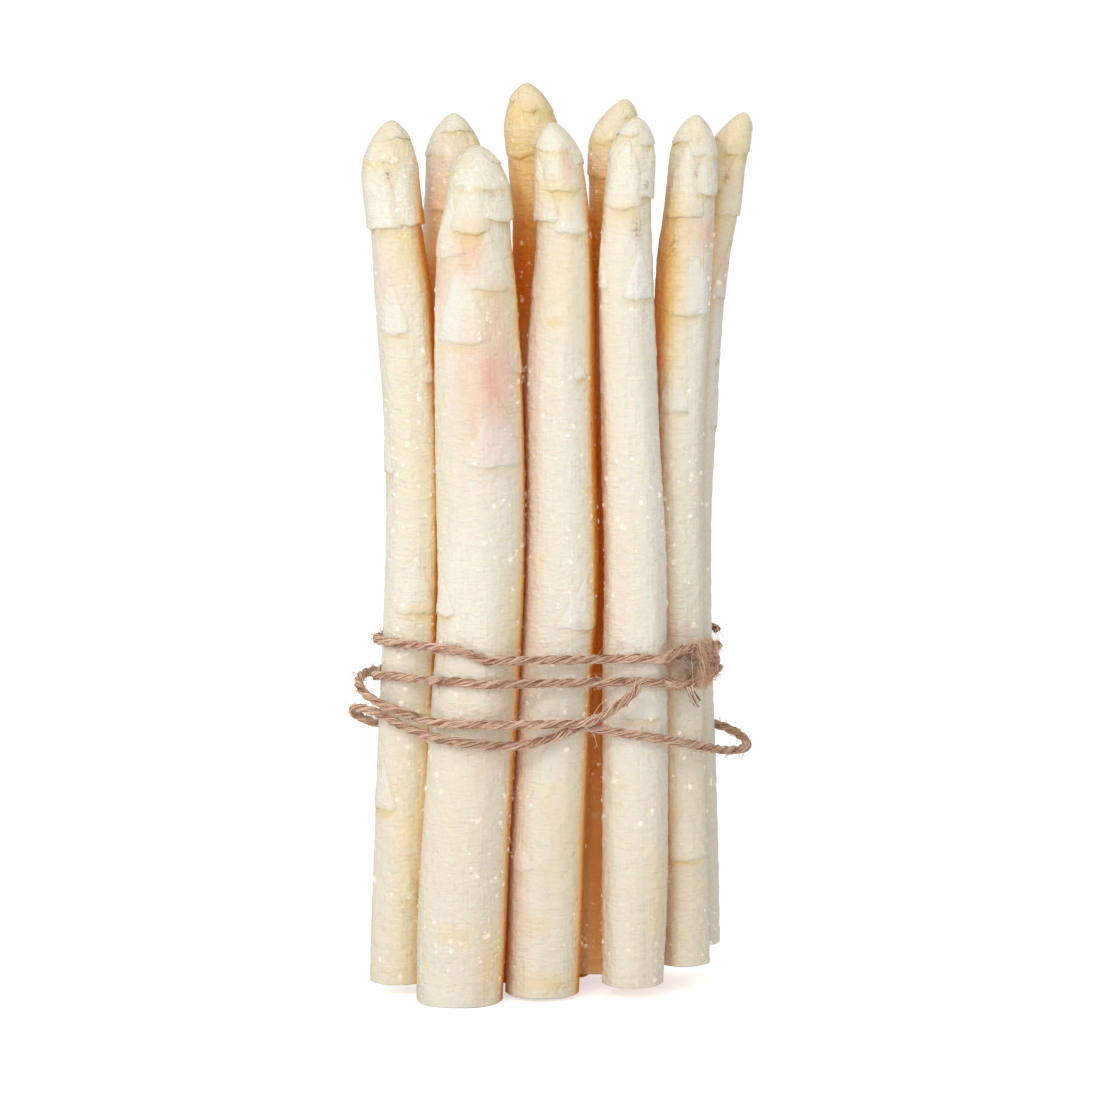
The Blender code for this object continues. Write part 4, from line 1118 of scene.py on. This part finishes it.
KNOT_FROM = (29 * MM, 4 * MM, 77 * MM)  # x, y and z: the twine right of, before and above it is at the knot


def runs_at_knot():
    """The parts of the twine's route that lie at the knot."""
    near = (route[:, 0] > KNOT_FROM[0]) & (route[:, 1] < KNOT_FROM[1]) & (route[:, 2] > KNOT_FROM[2])
    ends = np.flatnonzero(np.diff(near.astype(int))) + 1
    return [run for run, is_near in zip(np.split(route, ends), near[[0, *ends]]) if is_near and len(run) > 3]


DARK_JUTE = jute_fibre("jute_stained", (0.20, 0.10, 0.06, 1), (0.08, 0.04, 0.02, 1))
knot_lines = [pliant(run) for run in KNOT_RUNS]
knot = lay("twine_knot_spun", knot_lines, SPUN, Ply_offset=0.55 * MM, Strand_offset=0.5 * MM,
           Strand_radius=0.16 * MM, Unevenness=0.9 * MM, Material=JUTE)
knot_fuzz = lay("twine_knot_flyaways", [*knot_lines, *runs_at_knot()], LOOSE, Count=420, Start=1.1 * MM, **fuzz)
tuft = lay("twine_knot_tuft", [pliant(bristle) for bristle in KNOT_BRISTLES], SPUN, Plies=1, Strands=3,
           Ply_offset=0.0, Strand_offset=0.2 * MM, Strand_radius=0.16 * MM, Material=DARK_JUTE)
for piece in (knot, knot_fuzz, tuft):
    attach(piece, "root")
    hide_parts("twine_knot")

# The table: one plain white sheet under the bunch. It is a little brighter to the camera than the light on it
# makes it, so that it runs into the white behind.

TABLE_CORNERS = [(-4, -3, 0), (4, -3, 0), (4, 5, 0), (-4, 5, 0)]  # m
TABLE_GLOW = 0.58  # seen by the camera alone


def white_table():
    material, tree, shader = new_material("white_table")
    mottle = noise(tree, squeezed(tree, 1), 3)
    seen_by = node(tree, "ShaderNodeLightPath").outputs["Is Camera Ray"]
    plug(tree, shader, {
        "Base Color": mix_color(tree, mottle, (0.93, 0.93, 0.93, 1), (0.95, 0.95, 0.95, 1)),
        "Roughness": 0.9,
        "Specular IOR Level": 0.1,
        "Emission Color": (1, 1, 1, 1),
        "Emission Strength": calc(tree, "MULTIPLY", seen_by, TABLE_GLOW),
    })
    return material


table = bpy.data.objects.new("table", mesh_from("table", TABLE_CORNERS, [(0, 1, 2, 3)]))
table.data.materials.append(white_table())
bpy.context.scene.collection.objects.link(table)

# The daylight: a big soft window at the front left, weaker ones from the side and above, a small lamp for the
# glints, and a white room all round, brighter to the camera than to the bunch.

LIT_POINT = Vector((0, 0, 0.11))  # m
WARM, PALE = (1.0, 0.985, 0.96), (1.0, 0.99, 0.97)
WINDOWS = [  # name, place and side in m, watts, colour
    ("window_left", (-0.52, -1.40, 0.72), 0.9, 7.1, WARM),
    ("window_side", (-1.35, -0.55, 0.45), 0.9, 1.8, WARM),
    ("lamp", (-0.55, -1.30, 0.95), 0.14, 2.4, PALE),
    ("window_above", (0.2, -0.3, 1.3), 1.2, 2, PALE),
]
ROOM_SEEN, ROOM_LIT = 1.05, 0.54

for name, place, side, power, tint in WINDOWS:
    light = bpy.data.lights.new(name, "AREA")
    light.shape = "RECTANGLE"
    light.size = light.size_y = side
    light.energy = power
    light.color = tint
    thing = bpy.data.objects.new(name, light)
    thing.location = place
    thing.rotation_euler = (Vector(place) - LIT_POINT).to_track_quat("Z", "Y").to_euler()
    bpy.context.scene.collection.objects.link(thing)

world = bpy.data.worlds.new("white_room")
world.use_nodes = True
bpy.context.scene.world = world
room = world.node_tree
room.nodes.clear()
lit = node(room, "ShaderNodeBackground", {"Color": (*PALE, 1), "Strength": ROOM_LIT}).outputs[0]
seen = node(room, "ShaderNodeBackground", {"Color": (1, 1, 1, 1), "Strength": ROOM_SEEN}).outputs[0]
camera_ray = node(room, "ShaderNodeLightPath").outputs["Is Camera Ray"]
either = node(room, "ShaderNodeMixShader", {0: camera_ray, 1: lit, 2: seen}).outputs[0]
node(room, "ShaderNodeOutputWorld", {0: either})
bpy.context.scene.view_settings.view_transform = "Standard"
bpy.context.scene.view_settings.look = "None"

# The camera: a long lens 1.3 m off, before the front of the bunch, looking a little down at its middle. The
# whole bunch is in the picture with white all round it.

CAMERA_DISTANCE = 1.30
CAMERA_HEIGHT = 6.6  # degrees above level
LOOKS_AT = Vector((-0.0015, 0.0, 0.1124))
LENS, SENSOR = 168.8, 36  # mm

aim = math.radians(CAMERA_HEIGHT)
back = Vector((0, -math.cos(aim), math.sin(aim)))
camera = bpy.data.objects.new("camera", bpy.data.cameras.new("camera"))
camera.data.lens = LENS
camera.data.sensor_width = SENSOR
camera.data.clip_start = 0.05
camera.data.clip_end = 20
camera.location = LOOKS_AT + back * CAMERA_DISTANCE
camera.rotation_euler = back.to_track_quat("Z", "Y").to_euler()
bpy.context.scene.collection.objects.link(camera)
bpy.context.scene.camera = camera
